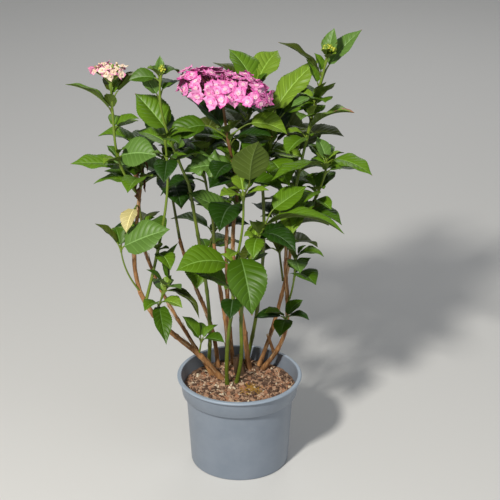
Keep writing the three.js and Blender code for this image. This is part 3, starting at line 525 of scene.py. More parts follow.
def blade_shape(leaf):
    """The slightly larger blade that a leaf's place is tested with."""
    fold, roll = math.radians(LEAF_FOLD), math.radians(leaf["roll"])
    flat_side = heading(leaf["turn"] + 90, 0)
    rings = []
    for row in range(BLADE_ROWS + 1):
        share, tip = row / BLADE_ROWS, row in (0, BLADE_ROWS)
        width = 0.0 if tip else math.sin(math.pi * share ** LEAF_OUTLINE_SKEW) ** LEAF_OUTLINE_FULLNESS
        flat_normal = heading(leaf["turn"], leaf["rise"] - leaf["droop"] * share + 90)
        side_way = flat_side * math.cos(roll) + flat_normal * math.sin(roll)
        normal = flat_normal * math.cos(roll) - flat_side * math.sin(roll)
        middle = midrib(leaf, 0.5 + (share - 0.5) * TEST_GROWTH)
        ring = []
        for across, up in BLADE_COMPASS:
            if tip:
                across, up = 0, 0
            half = 0.5 * leaf["length"] * LEAF_WIDTH * width * TEST_GROWTH * across
            lift = abs(half) * math.sin(fold) + up * TEST_THICKNESS * 0.5
            ring.append(middle + side_way * half * math.cos(fold) + normal * lift)
        rings.append(ring)
    return sphere_shape(lambda row, side: rings[row][side], len(BLADE_COMPASS), BLADE_ROWS)


class Taken:
    """Every shape that a leaf has to keep off, each with its owner's name."""

    def __init__(self):
        self.shapes, self.lows, self.highs, self.owners, self.stems = [], [], [], [], []

    def add(self, name, faces, stem=False):
        corners = faces.reshape(-1, 3)
        self.shapes.append(faces)
        self.lows.append(corners.min(0))
        self.highs.append(corners.max(0))
        self.owners.append(name)
        self.stems.append(stem)

    def blocked(self, faces, name, passes_own):
        """Whether a shape touches any other, leaving out what it may touch of its own mass."""
        corners = faces.reshape(-1, 3)
        below, above = np.array(self.lows) <= corners.max(0), np.array(self.highs) >= corners.min(0)
        for index in np.flatnonzero(np.all(below & above, 1)):
            own = self.owners[index] == name
            if own and (self.stems[index] or passes_own):
                continue
            if edges_cross(faces, self.shapes[index]) or edges_cross(self.shapes[index], faces):
                return True
        return False


def edges_cross(first, second):
    """Whether any edge of the first triangles passes through one of the second."""
    starts = first.reshape(-1, 3)[:, None]
    ends = np.roll(first, -1, axis=1).reshape(-1, 3)[:, None]
    way = ends - starts
    a, b, c = second[None, :, 0], second[None, :, 1], second[None, :, 2]
    edge_1, edge_2 = b - a, c - a
    normal = np.cross(edge_1, edge_2)
    slope = (way * normal).sum(-1)
    sign = np.where(slope < 0, -1.0, 1.0)
    slope = np.abs(slope)
    offset = starts - a
    u = sign * (way * np.cross(offset, edge_2)).sum(-1)
    v = sign * (way * np.cross(edge_1, offset)).sum(-1)
    depth = -sign * (offset * normal).sum(-1)
    hit = (slope > FLAT_SLOPE) & (u >= 0) & (v >= 0) & (u + v <= slope) & (depth >= 0) & (depth <= slope)
    return bool(hit.any())


def in_crown(faces):
    corners = faces.reshape(-1, 3)
    low, high = corners.min(0), corners.max(0)
    if low[0] < CROWN["left"] or high[0] > CROWN["right"] or low[1] < CROWN["front"]:
        return False
    if high[1] > CROWN["back"] or high[2] > CROWN["top"] or low[2] < CROWN_SKIRT:
        return False
    outside = np.hypot(corners[:, 0], corners[:, 1]) > POT_CLEAR_RADIUS
    return bool(np.all((corners[:, 2] > CROWN["bottom"]) | outside))


def leaf_at(row, stem, nudge=(0, 0, 1), number=None):
    """The leaf that a row asks for, with its turn and rise nudged and its length scaled."""
    share, turn, stalk_length, rise, droop, length, roll = row if len(row) > 6 else (*row, 0)
    turn, rise, length = turn + nudge[0], rise + nudge[1], length * nudge[2]
    outward = heading(turn, min(STALK_LIFT_MOST, max(STALK_LIFT_LEAST, rise + STALK_LIFT)))
    root = stem.line.point(min(share, STALK_HIGHEST))
    return dict(
        root=root, skin=root + outward * stem.radius(share) * STALK_ROOT_DEPTH,
        base=root + outward * (stalk_length + stem.radius(share)), outward=outward,
        turn=turn, rise=rise, droop=droop, length=length, roll=roll, share=share, number=number)


def grow_leaf(row, stem, name, taken, nudges=NUDGES, number=None):
    """Grows one leaf from a row of its mass, in the first free place among the nudges."""
    for nudge in nudges:
        leaf = leaf_at(row, stem, nudge, number)
        blade, stalk = blade_shape(leaf), stalk_shape(leaf)
        if in_crown(blade) and not taken.blocked(blade, name, False) \
                and not taken.blocked(stalk, name, True):
            taken.add(name, blade)
            taken.add(name, stalk)
            return leaf
    return None


def pair_rows(pairs, draw):
    """Rows for the opposite pairs that fill a stem, each pair square to the one below it."""
    rows = []
    for k in range(pairs["count"]):
        along = k / (pairs["count"] - 1) if pairs["count"] > 1 else 1
        for half in (0, 180):
            turn = pairs["turn"] + 90 * k + half + mix(*PAIR_TURNS, draw())
            rise = mix(*pairs["rise"], along) + mix(*PAIR_RISES, draw())
            size = mix(*pairs["size"], along) * mix(*PAIR_SIZES, draw())
            droop = mix(*PAIR_DROOPS, draw())
            rows.append((mix(pairs["start"], pairs["stop"], along), turn, size * PAIR_STALK, rise, droop,
                         size))
    return rows


def grow_plant():
    """All limbs and stems by name, and the leaves of each mass: its own rows, then its pairs."""
    stems, taken = {}, Taken()
    for name, spec in LIMBS.items():
        stems[name] = Stem(spec, stems)
        taken.add(name, stem_shape(stems[name], LIMB_STEPS))
    for name, spec in MASSES.items():
        stems[name] = Stem(spec, stems)
        taken.add(name, stem_shape(stems[name], SHOOT_STEPS), stem=True)
    for name, head in HEADS.items():
        taken.add(name, dome_shape(head))
    leaves = {name: [] for name in MASSES}
    for name, spec in MASSES.items():
        for number, row in enumerate(spec["leaves"]):
            leaves[name].append(grow_leaf(row, stems[name], name, taken, number=number))
    draw = stream(PAIR_SEED)
    for name, spec in MASSES.items():
        if "pairs" in spec:
            rows = pair_rows(spec["pairs"], draw)
            leaves[name] += [grow_leaf(row, stems[name], name, taken) for row in rows]
    return stems, {name: [leaf for leaf in grown if leaf] for name, grown in leaves.items()}, taken


stems, leaves, taken = grow_plant()


# Meshes

CREASE = 60


class Skin:
    """Gathers points in millimetres and faces with their finishes, and makes one object of them."""

    def __init__(self):
        self.points, self.count, self.finishes = [], 0, []
        self.quads, self.quad_slots = [], []
        self.triangles, self.triangle_slots = [], []

    def slot(self, finish):
        if finish not in self.finishes:
            self.finishes.append(finish)
        return self.finishes.index(finish)

    def add_points(self, points):
        """Adds points, and gives the number of the first of them."""
        points = np.asarray(points, float).reshape(-1, 3)
        first = self.count
        self.points.append(points)
        self.count += len(points)
        return first

    def add_quads(self, quads, finish):
        """Adds quads with one finish by name, or with a slot for each."""
        quads = np.asarray(quads, int).reshape(-1, 4)
        self.quads.append(quads)
        slots = self.slot(finish) if isinstance(finish, str) else finish
        self.quad_slots.append(np.broadcast_to(slots, len(quads)))

    def add_triangles(self, triangles, finish):
        triangles = np.asarray(triangles, int).reshape(-1, 3)
        self.triangles.append(triangles)
        self.triangle_slots.append(np.broadcast_to(self.slot(finish), len(triangles)))

    def add_rings(self, rings, finish, closed=False, order=(0, 1, 2, 3)):
        """Adds rings of points and the quads between them, and gives the points' numbers by ring."""
        rings = np.asarray(rings, float)
        count, sides = rings.shape[:2]
        grid = self.add_points(rings) + np.arange(count * sides).reshape(count, sides)
        below = np.roll(grid, -1, axis=0)
        quads = np.stack((grid, np.roll(grid, -1, axis=1), np.roll(below, -1, axis=1), below), -1)
        quads = quads if closed else quads[:-1]
        self.add_quads(quads.reshape(-1, 4)[:, order], finish)
        return grid

    def make(self, name, crease=CREASE):
        """One smooth object in metres, sharp where its faces turn by more than the crease."""
        points = np.concatenate(self.points) * MM
        quads = np.concatenate(self.quads) if self.quads else np.zeros((0, 4), int)
        triangles = np.concatenate(self.triangles) if self.triangles else np.zeros((0, 3), int)
        loops = np.concatenate((quads.ravel(), triangles.ravel()))
        sizes = np.concatenate((np.full(len(quads), 4), np.full(len(triangles), 3)))
        starts = np.concatenate(((0,), np.cumsum(sizes)[:-1]))
        slots = np.concatenate([*self.quad_slots, *self.triangle_slots])
        mesh = bpy.data.meshes.new(name)
        mesh.vertices.add(len(points))
        mesh.vertices.foreach_set("co", points.astype(np.float32).ravel())
        mesh.loops.add(len(loops))
        mesh.loops.foreach_set("vertex_index", loops.astype(np.int32))
        mesh.polygons.add(len(sizes))
        for part, values in (("loop_start", starts), ("loop_total", sizes), ("material_index", slots)):
            mesh.polygons.foreach_set(part, values.astype(np.int32))
        mesh.update(calc_edges=True)
        mesh.validate()
        mesh.shade_smooth()
        mesh.set_sharp_from_angle(angle=math.radians(crease))
        for finish in self.finishes:
            mesh.materials.append(FINISHES[finish])
        return place(name, mesh)


def place(name, data):
    """An object in the scene for a mesh, a lamp or a camera."""
    thing = bpy.data.objects.new(name, data)
    bpy.context.scene.collection.objects.link(thing)
    return thing


def add_sheet(skin, top, bottom, top_finishes, bottom_finishes):
    """A closed thin sheet of a grid of points and the grid under it, which meet at their edges."""
    rows, columns = top.shape[:2]
    upper = skin.add_points(top) + np.arange(rows * columns).reshape(rows, columns)
    under = upper.copy()
    inside = skin.add_points(bottom[1:-1, 1:-1])
    under[1:-1, 1:-1] = inside + np.arange((rows - 2) * (columns - 2)).reshape(rows - 2, columns - 2)
    for grid, finishes, order in ((upper, top_finishes, 1), (under, bottom_finishes, -1)):
        quads = np.stack((grid[:-1, :-1], grid[1:, :-1], grid[1:, 1:], grid[:-1, 1:]), -1)
        skin.add_quads(quads.reshape(-1, 4)[:, ::order], finishes.ravel())


def add_tube(skin, points, radii, sides, finish, relief=None):
    """A closed tube through points, its rings turned as little as they can be."""
    points = np.asarray(points, float)
    tangents = np.gradient(points, axis=0)
    tangents /= np.linalg.norm(tangents, axis=1)[:, None]
    across = unit(np.cross(tangents[0], reference_for(tangents[0])))
    angles = angles_round(sides)
    rings = []
    for k, (point, tangent) in enumerate(zip(points, tangents)):
        across = unit(across - tangent * across.dot(tangent))
        other = np.cross(tangent, across)
        reach = radii[k] * (np.ones(sides) if relief is None else relief(k / (len(points) - 1), angles))
        rings.append(point + reach[:, None] * (np.outer(np.cos(angles), across)
                                               + np.outer(np.sin(angles), other)))
    grid = skin.add_rings(rings, finish)
    ahead = np.roll(grid, -1, axis=1)
    ends = skin.add_points((points[0], points[-1]))
    skin.add_triangles([(ends, ahead[0][k], grid[0][k]) for k in range(sides)], finish)
    skin.add_triangles([(ends + 1, grid[-1][k], ahead[-1][k]) for k in range(sides)], finish)


def quadratic(start, knee, stop, share):
    """A point on the curve that leaves its start toward the knee and bends to its stop."""
    return (1 - share) ** 2 * start + 2 * share * (1 - share) * knee + share ** 2 * stop


def pick(options, draw):
    return options[int(draw() * len(options))]


def spiral_way(number, height):
    """A direction at a height on the unit sphere, a number of golden turns round it."""
    level, turn = math.sqrt(1 - height * height), GOLDEN_TURN * number
    return np.array((level * math.cos(turn), level * math.sin(turn), height))


def wear(thing, slot, *nodes):
    """Seats a finished piece on the body and hides the nodes it stands for; its slot is not used."""
    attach(thing, BODY)
    if nodes:
        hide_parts(*nodes)


# Finishes

LEAF_TONES = {
    "lime": (0.172, 0.290, 0.020),
    "fresh": (0.100, 0.205, 0.007),
    # pale: green whitened by a painted sheen
    "pale": (0.108, 0.212, 0.036),
    "mid": (0.056, 0.130, 0.004),
    # deep: a near-black green, partly a darker leaf and partly painted shade on leaves in the crown's shadow
    "deep": (0.017, 0.055, 0.003),
    "olive": (0.060, 0.084, 0.005),
    "cream": (0.56, 0.49, 0.215),
    "withered": (0.23, 0.12, 0.055),
}
UNDER_TONES = {"green": (0.075, 0.115, 0.014), "dry": (0.46, 0.38, 0.17), "withered": (0.17, 0.09, 0.04)}

# Parts of a blade: how much brighter and whiter than their tone they are, and their roughness
LEAF_PARTS = {"leaf": (1, 0, 0.42), "vein": (1.55, 0.02, 0.46), "rib": (1.7, 0.06, 0.46)}
UNDER_PARTS = {"under": (1, 0, 0.65), "under_vein": (1.4, 0.02, 0.6)}
LEAF_SHEEN = 0.3
UNDER_SHEEN = 0.2

# Finishes of one colour, each with its roughness
PLAIN = {
    "leaf_red": ((0.36, 0.13, 0.05), 0.42),
    "stalk_green": ((0.17, 0.25, 0.022), 0.45),
    "stalk_olive": ((0.095, 0.12, 0.012), 0.55),
    "stalk_brown": ((0.18, 0.085, 0.03), 0.6),
    "stalk_red": ((0.15, 0.03, 0.022), 0.5),
    "bud": ((0.52, 0.54, 0.05), 0.45),
    "bud_green": ((0.22, 0.34, 0.04), 0.42),
    "bark_flake": ((0.50, 0.33, 0.18), 0.8),
    "bark_pale": ((0.74, 0.58, 0.40), 0.75),
    "pink_bright": ((0.72, 0.09, 0.40), 0.5),
    "pink_mid": ((0.86, 0.17, 0.52), 0.5),
    "pink_pale": ((0.95, 0.36, 0.68), 0.5),
    "pink_heart": ((0.98, 0.60, 0.76), 0.5),
    # pink_under: the sepals' darker undersides, partly their own colour and partly painted shade between
    # florets
    "pink_under": ((0.50, 0.10, 0.30), 0.6),
    "cream_petal": ((0.96, 0.78, 0.60), 0.5),
    "cream_rim": ((0.93, 0.32, 0.55), 0.5),
    "eye": ((0.80, 0.62, 0.44), 0.5),
    # the lip's top, lighter than the pot: a painted highlight
    "pot_lip_highlight": ((0.33, 0.40, 0.49), 0.4),
    "chip_brown": ((0.44, 0.265, 0.17), 0.9),
    "chip_dark": ((0.115, 0.062, 0.040), 0.9),
    "chip_red": ((0.42, 0.205, 0.115), 0.9),
    "chip_tan": ((0.58, 0.40, 0.27), 0.9),
    "chip_pale": ((0.78, 0.67, 0.50), 0.9),
    "moss": ((0.40, 0.22, 0.03), 0.95),
}

# Finishes that noise mixes from two colours. A bump is its height in metres
MOTTLED = {
    "bark": dict(dark=(0.15, 0.062, 0.02), light=(0.50, 0.25, 0.095), roughness=0.8, scale=60,
                 stretch=(3, 3, 0.5), bump=0.0006),
    "bark_dark": dict(dark=(0.035, 0.02, 0.012), light=(0.14, 0.075, 0.035), roughness=0.85, scale=70,
                      stretch=(3, 3, 0.6), bump=0.001),
    "green_bark": dict(dark=(0.055, 0.09, 0.008), light=(0.17, 0.225, 0.016), roughness=0.5, scale=40,
                       stretch=(2, 2, 0.4)),
    "pot": dict(dark=(0.215, 0.255, 0.315), light=(0.245, 0.285, 0.347), roughness=0.4, scale=25),
    "compost": dict(dark=(0.030, 0.016, 0.010), light=(0.34, 0.20, 0.125), roughness=0.95, scale=210,
                    bump=0.0015),
}
GRAIN_DETAIL = 6
GRAIN_ROUGHNESS = 0.65
GRAIN_STOPS = (0.35, 0.65)


def plain(name, colour, roughness, sheen=None):
    """A finish of one colour."""
    material = bpy.data.materials.new(name)
    material.use_nodes = True
    material.diffuse_color = (*colour, 1)
    sockets = material.node_tree.nodes["Principled BSDF"].inputs
    sockets["Base Color"].default_value = (*colour, 1)
    sockets["Roughness"].default_value = roughness
    if sheen is not None:
        sockets["Specular IOR Level"].default_value = sheen
    return material


def mottled(name, dark, light, roughness, scale, stretch=(1, 1, 1), bump=0.0):
    """A finish between two colours by noise over the object, with a fine bump of the same grain."""
    material = plain(name, light, roughness)
    nodes, links = material.node_tree.nodes, material.node_tree.links
    shader = nodes["Principled BSDF"]
    spot = nodes.new("ShaderNodeTexCoord")
    mapping = nodes.new("ShaderNodeMapping")
    mapping.inputs["Scale"].default_value = stretch
    grain = nodes.new("ShaderNodeTexNoise")
    grain.inputs["Scale"].default_value = scale
    grain.inputs["Detail"].default_value = GRAIN_DETAIL
    grain.inputs["Roughness"].default_value = GRAIN_ROUGHNESS
    ramp = nodes.new("ShaderNodeValToRGB")
    for stop, position, colour in zip(ramp.color_ramp.elements, GRAIN_STOPS, (dark, light)):
        stop.position = position
        stop.color = (*colour, 1)
    links.new(spot.outputs["Object"], mapping.inputs["Vector"])
    links.new(mapping.outputs["Vector"], grain.inputs["Vector"])
    links.new(grain.outputs["Fac"], ramp.inputs["Fac"])
    links.new(ramp.outputs["Color"], shader.inputs["Base Color"])
    if bump:
        height = nodes.new("ShaderNodeBump")
        height.inputs["Distance"].default_value = bump
        links.new(grain.outputs["Fac"], height.inputs["Height"])
        links.new(height.outputs["Normal"], shader.inputs["Normal"])
    return material


def mix_finishes():
    """Every finish by its name."""
    finishes = {name: plain(name, *look) for name, look in PLAIN.items()}
    finishes.update({name: mottled(name, **look) for name, look in MOTTLED.items()})
    for tones, parts, sheen in ((LEAF_TONES, LEAF_PARTS, LEAF_SHEEN),
                                (UNDER_TONES, UNDER_PARTS, UNDER_SHEEN)):
        for tone, colour in tones.items():
            for part, (factor, white, roughness) in parts.items():
                name = f"{part}_{tone}"
                brighter = [value * factor + white for value in colour]
                finishes[name] = plain(name, brighter, roughness, sheen)
    return finishes


FINISHES = mix_finishes()


# Leaves

FIRST_ROW = 0.015
LAST_ROW = 0.992
VEIN_HALF_WIDTH = 0.0045


def leaf_grid(veins, steps, columns):
    """A blade's rows, how far each is from vein to vein, which strips are veins, and its columns."""
    centres = np.linspace(FIRST_ROW, LAST_ROW, veins + 2)
    rows, phases, vein_rows = [], [], []
    for k in range(veins + 1):
        low = centres[k] + (VEIN_HALF_WIDTH if k else 0)
        high = centres[k + 1] - (VEIN_HALF_WIDTH if k < veins else 0)
        rows += list(np.linspace(low, high, steps + 1))
        phases += list(np.linspace(0, 1, steps + 1))
        vein_rows += [False] * steps + ([True] if k < veins else [])
    across = np.concatenate((-np.array(columns)[::-1], (0,), columns))
    return dict(rows=np.array(rows), phases=np.array(phases), vein_rows=np.array(vein_rows), across=across)


LARGE_GRID = leaf_grid(7, 4, (0.035, 0.16, 0.31, 0.46, 0.61, 0.76, 0.9, 1))
SMALL_GRID = leaf_grid(5, 2, (0.05, 0.35, 0.7, 1))
LARGE_LEAF = 52

# A blade's outline, as shares of its length or of its half breadth
VEIN_ARCH = 0.62
BASE_FULLNESS = 0.72
TIP_FULLNESS = 1.25
TIP_STARTS = 0.35
TOOTH = 0.035
TOOTH_NOTCH = -0.3
TOOTH_COLUMN = 0.95

# How a blade stands out of its own plane, as shares too, but its thickness in millimetres
QUILT = 0.014
QUILT_SPREAD = 0.8
SIDE_LIFT = 1.35
SIDE_SAG = 0.5
OTHER_SIDE_PHASE = 1.7
BLADE_THICKNESS = 0.45
RIB_DEPTH = 0.011
RIB_BREADTH = 0.05
RIB_TAPER = 0.7

# Where the finishes of a blade's parts begin and end
RIB_COLUMN = 0.03
VEIN_REACH = 0.88
RED_EDGE = 0.5
RED_EDGE_TIP = 0.86
RED_TIP = 0.955

# What a look leaves unsaid
USUAL_LOOK = dict(broad=1, fold=1, twist=0, bow=0, curl=0, wave=0.02, waves=2.2, quilt=1, bites=(),
                  under="green", edge=None, red_tip=False)


def smooth(low, high, value):
    share = np.clip((value - low) / (high - low), 0, 1)
    return share * share * (3 - 2 * share)


def blade_axes(leaf, look, along):
    """Which way is sideways and which is up at each point of a blade."""
    twist = np.radians(leaf["roll"] + look["twist"] * along)[..., None]
    slope = np.radians(leaf["rise"] - leaf["droop"] * along)
    turn = math.radians(leaf["turn"])
    flat_side = np.array((-math.sin(turn), math.cos(turn), 0.0))
    flat_normal = np.stack((-np.sin(slope) * math.cos(turn), -np.sin(slope) * math.sin(turn),
                            np.cos(slope)), -1)
    side = np.cos(twist) * flat_side + np.sin(twist) * flat_normal
    return side, np.cos(twist) * flat_normal - np.sin(twist) * flat_side


def blade_finishes(skin, grid, look):
    """The slots of a blade's faces, above and below."""
    plain_slot, vein_slot, rib_slot = [skin.slot(part + look["tone"]) for part in ("leaf_", "vein_", "rib_")]
    under_slot, under_vein_slot = [skin.slot(part + look["under"]) for part in ("under_", "under_vein_")]
    size = np.abs(grid["across"])
    middle, row = (size[None, :-1] + size[None, 1:]) / 2, grid["rows"][:-1, None]
    ribbed = middle < RIB_COLUMN
    veined = grid["vein_rows"][:, None] & (middle < VEIN_REACH)
    top = np.where(ribbed, rib_slot, np.where(veined, vein_slot, plain_slot))
    if look["edge"]:
        edged = ((middle > RED_EDGE) & (row > RED_EDGE)) | (row > RED_EDGE_TIP)
        top = np.where(edged, skin.slot(look["edge"]), top)
    elif look["red_tip"]:
        top = np.where(row > RED_TIP, skin.slot("leaf_red"), top)
    return top, np.where(veined | ribbed, under_vein_slot, under_slot)


def add_leaf(skin, leaf, look, draw):
    """One leaf: arching side veins, a blade quilted between them, a ribbed underside, toothed edges."""
    look = USUAL_LOOK | look
    length = leaf["length"]
    grid = LARGE_GRID if length > LARGE_LEAF else SMALL_GRID
    row, across = grid["rows"][:, None], grid["across"][None, :]
    size = np.abs(across)
    along = row + VEIN_ARCH * size * np.sqrt(row) * (1 - row)
    fullness = mix(BASE_FULLNESS, TIP_FULLNESS, smooth(TIP_STARTS, 1, along))
    width = np.maximum(np.sin(math.pi * along ** LEAF_OUTLINE_SKEW), 0) ** fullness
    notched = np.where(np.arange(len(row)) % 2, TOOTH_NOTCH, 1.0)[:, None]
    tooth = notched * TOOTH * (size > TOOTH_COLUMN)
    half = 0.5 * length * LEAF_WIDTH * look["broad"] * width * (1 + tooth)
    for centre, reach, depth, side in look["bites"]:
        cut = np.exp(-(((along - centre) / reach) ** 2)) * (across * side > 0)
        half = half * (1 - depth * cut * size)
    phase = draw() * 2 * math.pi
    wave = look["wave"] * length * size ** 2
    phases = phase + np.where(across > 0, 0.0, OTHER_SIDE_PHASE)
    ripple = np.sin(2 * math.pi * look["waves"] * along + phases)
    quilt = QUILT * length * np.sin(math.pi * grid["phases"])[:, None]
    quilt = quilt * np.sin(math.pi * size ** QUILT_SPREAD) * np.sin(math.pi * along) * look["quilt"]
    fold = math.radians(LEAF_FOLD * look["fold"])
    lift = half * math.sin(fold) * (SIDE_LIFT * size - SIDE_SAG * size ** 2)
    lift = lift + look["curl"] * half * size ** 3 + wave * ripple * width + quilt
    sideways = across * half * math.cos(fold) + look["bow"] * length * np.sin(math.pi * along)
    side, normal = blade_axes(leaf, look, along)
    top = midrib(leaf, along) + side * sideways[..., None] + normal * lift[..., None]
    rib = np.exp(-((size / RIB_BREADTH) ** 2)) * RIB_DEPTH * length * (1 - RIB_TAPER * along)
    bottom = top - normal * (BLADE_THICKNESS + rib)[..., None]
    add_sheet(skin, top, bottom, *blade_finishes(skin, grid, look))


# Stalks: steps and sides of their tubes, how far they run into the blade, and their girth
STALK_STEPS = 7
STALK_SIDES = 7
STALK_INTO_BLADE = 0.02
STALK_START_PULL = 0.45
STALK_STOP_PULL = 0.25
STALK_THICK = 1.0
STALK_THICK_BY_LENGTH = 0.006
STALK_TAPER = 0.25
STALK_FOOT = 0.5
STALK_FOOT_REACH = 0.12


def add_stalk(skin, leaf, finish):
    """A stalk that leaves the stem outward, then bends into its blade's own direction."""
    ahead = heading(leaf["turn"], leaf["rise"])
    start, stop = leaf["root"], leaf["base"] + ahead * leaf["length"] * STALK_INTO_BLADE
    reach = np.linalg.norm(stop - start)
    first = start + leaf["outward"] * reach * STALK_START_PULL
    second = stop - ahead * reach * STALK_STOP_PULL
    share = np.linspace(0, 1, STALK_STEPS + 1)
    on = share[:, None]
    off = 1 - on
    points = off ** 3 * start + 3 * on * off ** 2 * first + 3 * on ** 2 * off * second + on ** 3 * stop
    foot = STALK_FOOT * np.exp(-((share / STALK_FOOT_REACH) ** 2))
    thick = STALK_THICK + STALK_THICK_BY_LENGTH * leaf["length"]
    add_tube(skin, points, thick * (1 - STALK_TAPER * share + foot), STALK_SIDES, finish)


# Which tones each kind of mass deals to its leaves
DEALS = {
    "crown": ("fresh", "mid", "lime", "fresh", "deep", "mid"),
    "front": ("mid", "fresh", "deep", "mid", "lime"),
    "left": ("fresh", "pale", "mid", "fresh", "lime"),
    "right": ("lime", "fresh", "mid", "pale", "fresh"),
    "low": ("mid", "fresh", "deep", "mid"),
    "shade": ("deep", "olive", "mid", "deep"),
    "back": ("mid", "deep", "fresh", "mid", "olive"),
    "dead": ("cream",),
}
DEALT_SHAPES = dict(wave=(0.01, 0.03), twist=(-14, 14), bow=(-0.03, 0.03), curl=(-0.12, 0.1))
PLAIN_TIP_SHARE = 0.85

# Holes at a tattered leaf's edge: how far along, how long, how deep, and on which side
BITES = ((0.62, 0.05, 0.4, 1), (0.4, 0.04, 0.35, -1), (0.8, 0.04, 0.45, -1), (0.3, 0.03, 0.3, 1))

# Leaves with a look of their own, by their mass and their row in it
# A deep tone here is painted shade on a leaf, and a pale tone is a painted sheen.
SPECIAL_LOOKS = {
    "upper_middle_leaves": {
        0: dict(tone="lime", quilt=2.0, fold=0.7, twist=0, broad=0.68, red_tip=False),
        2: dict(tone="fresh", broad=0.75),
        3: dict(tone="deep", quilt=1.4),
        4: dict(tone="olive", broad=0.5),
        5: dict(tone="lime", quilt=1.6),
        6: dict(tone="lime"),
        7: dict(tone="lime"),
        8: dict(tone="deep"),
        10: dict(tone="deep"),
    },
    "green_shoot_a": {
        0: dict(tone="mid", quilt=1.3, wave=0.03, waves=1.6, fold=0.8, twist=0, broad=0.88),
        1: dict(tone="fresh", wave=0.015, fold=0.6, broad=0.92),
        2: dict(tone="fresh", wave=0.02),
        3: dict(tone="deep", broad=1.1),
        4: dict(tone="olive", broad=1.15, fold=0.5, twist=0),
        5: dict(tone="lime", wave=0.05, waves=4),
    },
    "green_shoot_b": {
        0: dict(tone="fresh", wave=0.012, broad=0.42, fold=1.6, twist=10),
        1: dict(tone="deep", broad=0.8),
        3: dict(tone="fresh", broad=1.0, fold=0.6),
    },
    "centre_leaves": {
        0: dict(tone="pale", fold=0.5, quilt=1.4, broad=0.8),
        1: dict(tone="deep"),
        4: dict(tone="deep"),
        5: dict(tone="deep"),
        6: dict(tone="pale", wave=0.07, waves=4.5, quilt=2.4, twist=0, bites=BITES),
    },
    "left_low_leaves": {
        0: dict(tone="mid", fold=2.0, broad=0.62),
        1: dict(tone="pale", broad=0.5),
        2: dict(tone="olive", broad=0.36, fold=1.4),
        3: dict(tone="mid", broad=0.6, fold=1.2),
    },
    "left_thin_stalk_leaves": {
        0: dict(tone="pale", fold=0.7, wave=0.02, twist=-6),
        1: dict(tone="olive", broad=0.6, fold=1.4),
    },
    "left_green_shoot": {1: dict(tone="deep", fold=1.4)},
    "left_dead_leaf": {0: dict(tone="cream", under="dry", curl=0.15, wave=0.03, quilt=0.6, broad=0.9)},
    "young_flower_shoot": {
        0: dict(tone="fresh", broad=0.5, fold=1.6, red_tip=True),
        1: dict(tone="olive", broad=0.7, fold=1.8, curl=0.4),
        2: dict(tone="fresh", broad=0.72),
        3: dict(tone="pale", fold=0.7, quilt=0.7, twist=0, broad=1.25),
        5: dict(tone="olive", broad=1.0),
        7: dict(tone="fresh", broad=0.6),
    },
    "mid_left_leaves": {
        0: dict(tone="fresh", fold=1.0, quilt=1.8, broad=1.15),
        1: dict(tone="pale", fold=1.2, broad=0.9),
        4: dict(tone="pale", fold=1.6, broad=0.8),
        6: dict(tone="fresh", broad=0.7),
    },
    "right_middle_leaves": {0: dict(tone="fresh", broad=0.72, fold=0.8), 4: dict(tone="fresh", broad=0.6)},
    "right_top_leaves": {
        0: dict(tone="pale", broad=0.72, quilt=1.6, twist=0),
        1: dict(tone="olive", broad=0.5, red_tip=True),
        2: dict(tone="pale", broad=0.95, quilt=1.6, twist=0),
        3: dict(tone="lime", edge="leaf_red", wave=0.04, broad=0.85),
        4: dict(tone="olive", broad=0.95),
        6: dict(tone="fresh", broad=0.8),
    },
    "rear_middle_leaves": {
        0: dict(tone="fresh", quilt=1.9, broad=1.1),
        1: dict(tone="lime", wave=0.04, quilt=1.9),
        2: dict(tone="olive", red_tip=True),
    },
}


def look_of(name, number, draw):
    """A leaf's look: dealt from its mass's tones, unless it has one of its own."""
    look = dict(tone=pick(DEALS[MASSES[name]["tones"]], draw))
    look.update({part: mix(*ends, draw()) for part, ends in DEALT_SHAPES.items()})
    look["red_tip"] = draw() > PLAIN_TIP_SHARE
    return look | SPECIAL_LOOKS.get(name, {}).get(number, {})


# Shrivelled brown leaves that hang on among the live ones of one mass
WITHERED_MASS = "left_top_leaves"
WITHERED_LEAVES = (
    (0.1, 262, 3, -48, 40, 24), (0.35, 300, 3, -52, 40, 22), (0.55, 235, 3, -46, 50, 20),
    (0.7, 285, 3, -40, 60, 22), (0.25, 210, 3, -60, 30, 17), (0.85, 320, 3, -50, 40, 16),
)
WITHERED_LOOK = dict(tone="withered", under="withered", broad=0.5, fold=3.2, wave=0.12, waves=3, curl=0.8,
                     twist=60)

# The small leaves above each stalk, and the young pair at each tip
AXIL_SEED = 310
AXIL_SPREADS = dict(turn=(25, 60), stalk=(4, 10), rise=(10, 45), droop=(20, 60), length=(18, 38))
AXIL_STEP = 0.01
AXIL_NUDGES = NUDGES[:5]
AXIL_TONES = ("lime", "fresh", "mid")
AXIL_LOOK = dict(wave=0.03, fold=1.4)
AXIL_TWISTS = (-20, 20)
TIP_LENGTHS = (12, 20)
TIP_STALK = 3
TIP_RISE = 62
TIP_DROOP = 30
DEAD_MASS = "left_dead_leaf"


def axil_row(leaf, side, draw):
    """The row of a small leaf to one side above another leaf's stalk."""
    turn, stalk, rise, droop, length = (mix(*ends, draw()) for ends in AXIL_SPREADS.values())
    return (min(leaf["share"] + AXIL_STEP, 1), leaf["turn"] + side * turn, stalk, leaf["rise"] + rise,
            droop, length)


def grow_axils():
    """Finer growth: a small leaf or two above each leaf's stalk, and a young pair at each tip."""
    draw = stream(AXIL_SEED)
    bearing = {head["on"] for head in HEADS.values()}
    small = {name: [] for name in MASSES}
    for name, grown in leaves.items():
        if name == DEAD_MASS:
            continue
        rows = [axil_row(leaf, side, draw) for leaf in grown for side in (-1, 1)]
        if name not in bearing:
            turn = 360 * draw()
            rows += [(1, turn + half, TIP_STALK, TIP_RISE, TIP_DROOP, mix(*TIP_LENGTHS, draw()))
                     for half in (0, 180)]
        tried = [grow_leaf(row, stems[name], name, taken, AXIL_NUDGES) for row in rows]
        small[name] = [leaf for leaf in tried if leaf]
    return small


